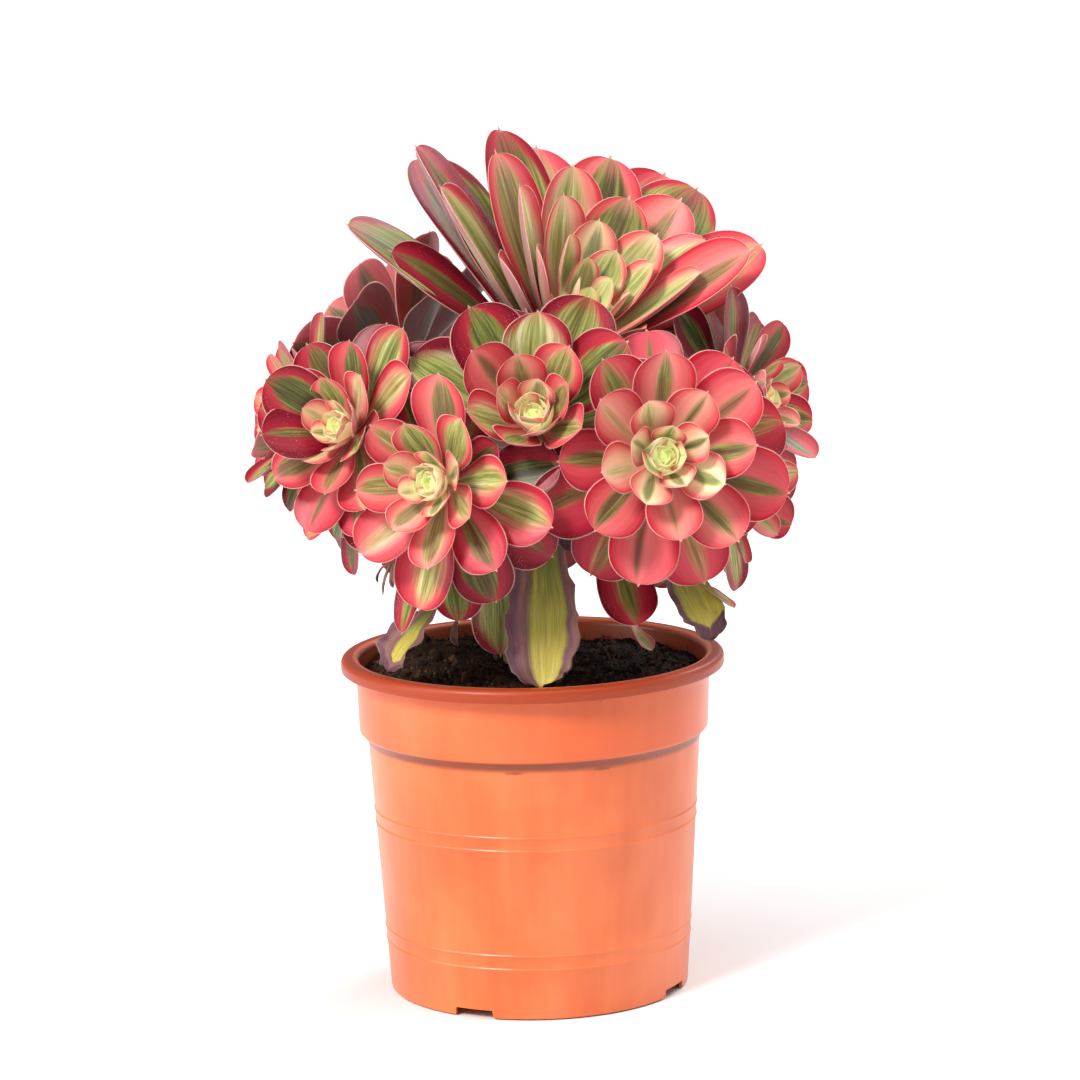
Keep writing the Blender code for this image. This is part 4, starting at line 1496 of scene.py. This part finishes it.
pot = build_pot()
print("pot faces:", len(pot.data.polygons))

# %% [markdown]
# ## The pot's plastic
#
# Recycled polypropylene is never one even colour: it has broad cloudy patches, fine pale scuffs
# where pots were stacked, dark specks, and spots of dirt under the step, where a painted shadow
# also darkens the body. The rolled lip is thicker, so it looks darker than the thin wall.

# %% The plastic
STAINS = ((-9 * MM, -73.6 * MM, 111.4 * MM), (29 * MM, -68.0 * MM, 111.6 * MM))


def plastic_finish():
    constants = {"Specular IOR Level": 0.35, "Coat Roughness": 0.22}
    material, bench, shader = new_finish("terracotta_plastic_finish", constants)
    spot = bench.node("ShaderNodeTexCoord", out=3)
    x, y, z = parts(bench, spot)
    cloud = bench.noise(spot, 14, 3.0, 0.55, 0.4)
    drift = bench.noise(triple(bench, x * 60, y * 60, z * 10), 1.0, 3.0, 0.6)
    fine = bench.noise(spot, 900, 2.0, 0.5)
    tinted = bench.ramp(cloud * 0.75 + drift * 0.45 - 0.10, [
        (0.20, srgb(204, 84, 36)), (0.46, srgb(219, 103, 51)), (0.60, srgb(228, 115, 63)),
        (0.86, srgb(240, 138, 92)),
    ])
    lip = bench.step(z, POT_HEIGHT - 6.4 * MM, POT_HEIGHT - 5.4 * MM)
    radius = bench.maths("SQRT", x * x + y * y)
    outside = bench.step(radius, COLLAR_TOP_RADIUS + 0.5 * MM, COLLAR_TOP_RADIUS + 2.0 * MM)
    collar = bench.step(z, COLLAR_FOOT_Z - 3 * MM, COLLAR_FOOT_Z + 2 * MM)
    tinted = bench.mix(collar * 0.45, tinted, colour(216, 84, 36))
    tinted = bench.mix(lip * outside * 0.92, tinted, colour(150, 48, 12))
    inside = 1 - bench.step(radius, COLLAR_TOP_RADIUS - 1.4 * MM, COLLAR_TOP_RADIUS - 0.7 * MM)
    outside_body = bench.step(radius, BODY_TOP_RADIUS - 0.9 * MM, BODY_TOP_RADIUS - 0.5 * MM)
    # painted shade: the inside wall above the soil is darkened, where the rim and the crown shade
    # it
    painted_inner_shade = inside * bench.step(z, COLLAR_FOOT_Z + 4 * MM, COLLAR_FOOT_Z + 6 * MM)
    tinted = bench.mix(painted_inner_shade * 0.7, tinted, colour(150, 62, 32))

    # painted shadow: a dark band on the body just under the collar's step,
    # where the collar's overhang shades it
    painted_step_shadow = bench.step(z, BODY_TOP_Z - 2.0 * MM, BODY_TOP_Z + 1.0 * MM)
    painted_step_shadow = painted_step_shadow * (1 - bench.step(z, COLLAR_FOOT_Z - 0.6 * MM, COLLAR_FOOT_Z))
    tinted = bench.mix(painted_step_shadow * outside_body * (0.60 + drift * 0.3), tinted, colour(84, 22, 8))

    scuff_lines = bench.noise(triple(bench, x * 90, y * 90, z * 1400), 1.0, 3.0, 0.7)
    scuffs = bench.step(scuff_lines, 0.66, 0.80) * bench.step(cloud, 0.48, 0.66)
    tinted = bench.mix(scuffs * 0.28, tinted, colour(252, 186, 158))
    speck_place = bench.node(
        "ShaderNodeTexVoronoi", {"feature": "F1"}, {"Vector": spot, "Scale": 95.0}
    )
    lucky = bench.noise(spot, 60, 1.0, 0.5)
    specks = (1 - bench.step(speck_place, 0.028, 0.05)) * bench.step(lucky, 0.60, 0.64)
    tinted = bench.mix(specks * 0.8, tinted, colour(92, 38, 24))
    for stain in STAINS:
        away = bench.vector("SUBTRACT", spot, stain)
        flat = bench.vector("MULTIPLY", away, (0.32, 0.32, 1.6))
        reach = bench.node("ShaderNodeVectorMath", {"operation": "LENGTH"}, {0: flat}, out=1)
        rough = bench.noise(spot, 700, 3.0, 0.7)
        dirt = 1 - bench.step(reach + (rough - 0.5) * 2.2 * MM, 0.4 * MM, 1.9 * MM)
        tinted = bench.mix(dirt * 0.7, tinted, colour(128, 44, 24))
    feed(bench, shader, "Base Color", tinted)
    feed(bench, shader, "Roughness", 0.37 + cloud * 0.12 + scuffs * 0.2)
    feed(bench, shader, "Coat Weight", 0.34 - lip * outside * 0.28)
    wave = bench.noise(spot, 45, 2.0, 0.5)
    height = fine * 0.12 + wave * 1.0 + scuff_lines * 0.05
    feed(bench, shader, "Normal", bumped(bench, height, 0.30, 0.0008))
    return material


terracotta_plastic = plastic_finish()
pot.data.materials.clear()
pot.data.materials.append(terracotta_plastic)
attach(pot, "root")
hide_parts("pot")

# %% [markdown]
# ## The soil
#
# Potting soil is peat and bark: soft clods, crumbs of all sizes, flat chips of bark and pale
# fibres. The bed is one closed body whose top is lumpy at three scales, and the crumbs, chips and
# fibres are scattered over it by Geometry Nodes.

# %% The soil bed
SOIL_LEVEL = 141 * MM
SOIL_LUMP = 2.6 * MM
SOIL_AROUND = 200
SOIL_RINGS = 84


def soil_height(x, y):
    """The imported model's soil, with finer clods and crumbs on it."""
    spot = Vector((x, y, 0))
    lumps = noise.noise(spot / (17 * MM))
    mound = math.exp(-((x + 45 * MM) ** 2 + (y - 40 * MM) ** 2) / (26 * MM) ** 2)
    clods = noise.noise(spot / (6 * MM) + Vector((3, 5, 0)))
    crumbs = noise.noise(spot / (2.2 * MM) + Vector((7, 1, 4)))
    fine = noise.noise(spot / (0.9 * MM) + Vector((2, 8, 6)))
    low = SOIL_LEVEL + SOIL_LUMP * lumps + 6 * MM * mound
    return low + (1.5 * abs(clods) + 0.9 * crumbs + 0.35 * fine) * MM


def build_soil_bed():
    """A closed body: the lumpy top, the side down the pot's wall, and the bottom."""
    clearance = WALL + GAP
    bm = bmesh.new()
    rings = []
    for i in range(1, SOIL_RINGS + 1):
        radius = 76 * MM * i / SOIL_RINGS
        ring = []
        for k in range(SOIL_AROUND):
            angle = 2 * math.pi * k / SOIL_AROUND
            x, y = radius * math.cos(angle), radius * math.sin(angle)
            ring.append(bm.verts.new((x, y, soil_height(x, y))))
        rings.append(ring)
    side = [
        (COLLAR_FOOT_RADIUS - clearance, COLLAR_FOOT_Z + GAP),
        (BODY_TOP_RADIUS - clearance - GAP, BODY_TOP_Z + GAP),
        (wall_radius(FLOOR_Z) - clearance - GAP, FLOOR_Z + WALL + GAP),
    ]
    for radius, z in side:
        ring = []
        for k in range(SOIL_AROUND):
            angle = 2 * math.pi * k / SOIL_AROUND
            ring.append(bm.verts.new((radius * math.cos(angle), radius * math.sin(angle), z)))
        rings.append(ring)
    for inner, outer in zip(rings, rings[1:]):
        for k in range(SOIL_AROUND):
            after = (k + 1) % SOIL_AROUND
            bm.faces.new((inner[k], outer[k], outer[after], inner[after]))
    middle = bm.verts.new((0, 0, soil_height(0, 0)))
    for k in range(SOIL_AROUND):
        bm.faces.new((middle, rings[0][k], rings[0][(k + 1) % SOIL_AROUND]))
    bm.faces.new(reversed(rings[-1]))
    bmesh.ops.recalc_face_normals(bm, faces=bm.faces)
    mesh = bpy.data.meshes.new("soil_bed")
    bm.to_mesh(mesh)
    bm.free()
    mesh.shade_smooth()
    return new_object("soil_bed", mesh)


def soil_finish():
    material, bench, shader = new_finish("potting_soil_finish", {"Specular IOR Level": 0.2})
    spot = bench.node("ShaderNodeTexCoord", out=3)
    x, y, _ = parts(bench, spot)
    clods = bench.noise(spot, 110, 4.0, 0.7)
    crumbs = bench.noise(spot, 600, 4.0, 0.7)
    # the soil is coloured lighter towards the front left
    dry = bench.step(y * -0.6 - x, -0.03, 0.07)
    tinted = bench.ramp(clods * 0.6 + crumbs * 0.55 + dry * 0.16 - 0.08, [
        (0.28, srgb(14, 9, 6)), (0.48, srgb(28, 18, 12)), (0.64, srgb(52, 34, 22)),
        (0.88, srgb(96, 68, 44)),
    ])
    feed(bench, shader, "Base Color", tinted)
    feed(bench, shader, "Roughness", 0.82 + crumbs * 0.15)
    feed(bench, shader, "Normal", bumped(bench, crumbs + clods * 0.5, 0.9, 0.0012))
    return material


def crumb_finish():
    material, bench, shader = new_finish("soil_crumb_finish", {"Specular IOR Level": 0.2})
    seed = read(bench, "crumb_seed", out=2)
    spot = bench.node("ShaderNodeTexCoord", out=3)
    grain = bench.noise(spot, 900, 3.0, 0.6)
    tinted = bench.ramp(seed * 0.75 + grain * 0.25, [
        (0.15, srgb(18, 11, 7)), (0.50, srgb(40, 25, 15)), (0.74, srgb(72, 48, 29)),
        (0.88, srgb(114, 82, 52)), (0.98, srgb(182, 146, 104)),
    ])
    feed(bench, shader, "Base Color", tinted)
    feed(bench, shader, "Roughness", 0.78 + grain * 0.2)
    return material


# %% Scatter crumbs, chips and fibres


def scattered(bench, points, shape, seed, low, high, scale):
    """One shape on every point, each turned at random, with a random size and a colour seed."""
    turn = bench.node(
        "FunctionNodeRandomValue", {"data_type": "FLOAT_VECTOR"},
        {"Min": (0, 0, 0), "Max": (6.283, 6.283, 6.283), "Seed": seed},
    )
    size = bench.node(
        "FunctionNodeRandomValue", {"data_type": "FLOAT_VECTOR"},
        {"Min": low, "Max": high, "Seed": seed + 1},
    )
    size = bench.scaled(size, scale)
    inputs = {"Points": points, "Instance": shape, "Rotation": turn, "Scale": size}
    return bench.node("GeometryNodeInstanceOnPoints", None, inputs)


def top_points(bench, bed, density, seed):
    """Points on the upward faces of the bed, each with a colour seed of its own."""
    x, y, height = parts(bench, bench.node("GeometryNodeInputPosition"))
    above = bench.maths("GREATER_THAN", height, SOIL_LEVEL - 8 * MM)
    within = bench.maths("LESS_THAN", x * x + y * y, (74 * MM) ** 2)
    inputs = {"Mesh": bed, "Selection": within * above, "Density": density, "Seed": seed}
    points = bench.node("GeometryNodeDistributePointsOnFaces", None, inputs)
    shade = bench.node("FunctionNodeRandomValue", {"data_type": "FLOAT"}, {"Seed": seed + 9}, out=1)
    return store(bench, points, "crumb_seed", shade, "FLOAT")


def make_scatter_tree():
    sockets = {
        "Crumb density": "Float", "Chip density": "Float", "Fibre density": "Float",
        "Seed": "Int", "Material": "Material",
    }
    bench, given = new_tree("soil_litter", sockets)
    bed = given["Geometry"]
    lump = bench.node("GeometryNodeMeshIcoSphere", None, {"Radius": 1.0, "Subdivisions": 2})
    even = (1, 1, 1)
    uneven = (0.55, 0.55, 0.55)
    crumbs = scattered(
        bench, top_points(bench, bed, given["Crumb density"], 1), lump, 11, uneven, even, 0.9 * MM
    )
    clods = scattered(
        bench, top_points(bench, bed, given["Chip density"], 2), lump, 21, uneven, even, 2.6 * MM
    )
    block = bench.node("GeometryNodeMeshCube", None, {"Size": (2, 2, 2)})
    chips = scattered(
        bench, top_points(bench, bed, given["Chip density"], 3), block, 31,
        (0.9, 0.35, 0.12), (2.4, 0.8, 0.30), 1.6 * MM,
    )
    bend = bench.node(
        "GeometryNodeCurveQuadraticBezier", None,
        {"Resolution": 7, "Start": (-1, 0, 0), "Middle": (0.1, 0.9, 0.5), "End": (1, 0.2, 0)},
    )
    round_wire = bench.node(
        "GeometryNodeCurvePrimitiveCircle", None, {"Resolution": 4, "Radius": 0.022}
    )
    fibre = bench.node(
        "GeometryNodeCurveToMesh", None,
        {"Curve": bend, "Profile Curve": round_wire, "Fill Caps": True},
    )
    fibres = scattered(
        bench, top_points(bench, bed, given["Fibre density"], 4), fibre, 41,
        (0.5, 0.5, 0.4), (1.5, 1.5, 0.9), 4.5 * MM,
    )
    joined = bench.tree.nodes.new("GeometryNodeJoinGeometry")
    for piece in (crumbs, clods, chips, fibres):
        bench.tree.links.new(piece.socket, joined.inputs[0])
    end_tree(bench, Wire(bench, joined.outputs[0]), given["Material"])
    return bench.tree


def roughened(obj, amount, grain):
    """Breaks the roundness of scattered lumps with one fine noise."""
    mesh = obj.data
    moved = []
    for vertex in mesh.vertices:
        moved.append(vertex.co + noise.noise_vector(vertex.co / grain) * amount)
    mesh.vertices.foreach_set("co", [part for point in moved for part in point])
    mesh.update()


soil_bed = build_soil_bed()
soil_bed.data.materials.append(soil_finish())
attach(soil_bed, "root")
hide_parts("soil")

litter = new_object("soil_litter", soil_bed.data.copy())
litter.data.materials.clear()
litter_values = {
    "Crumb density": 90000.0, "Chip density": 7000.0, "Fibre density": 26000.0,
    "Material": crumb_finish(),
}
run_tree(litter, make_scatter_tree(), litter_values)
roughened(litter, 0.5 * MM, 1.1 * MM)
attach(litter, "root")
print("litter faces:", len(litter.data.polygons))
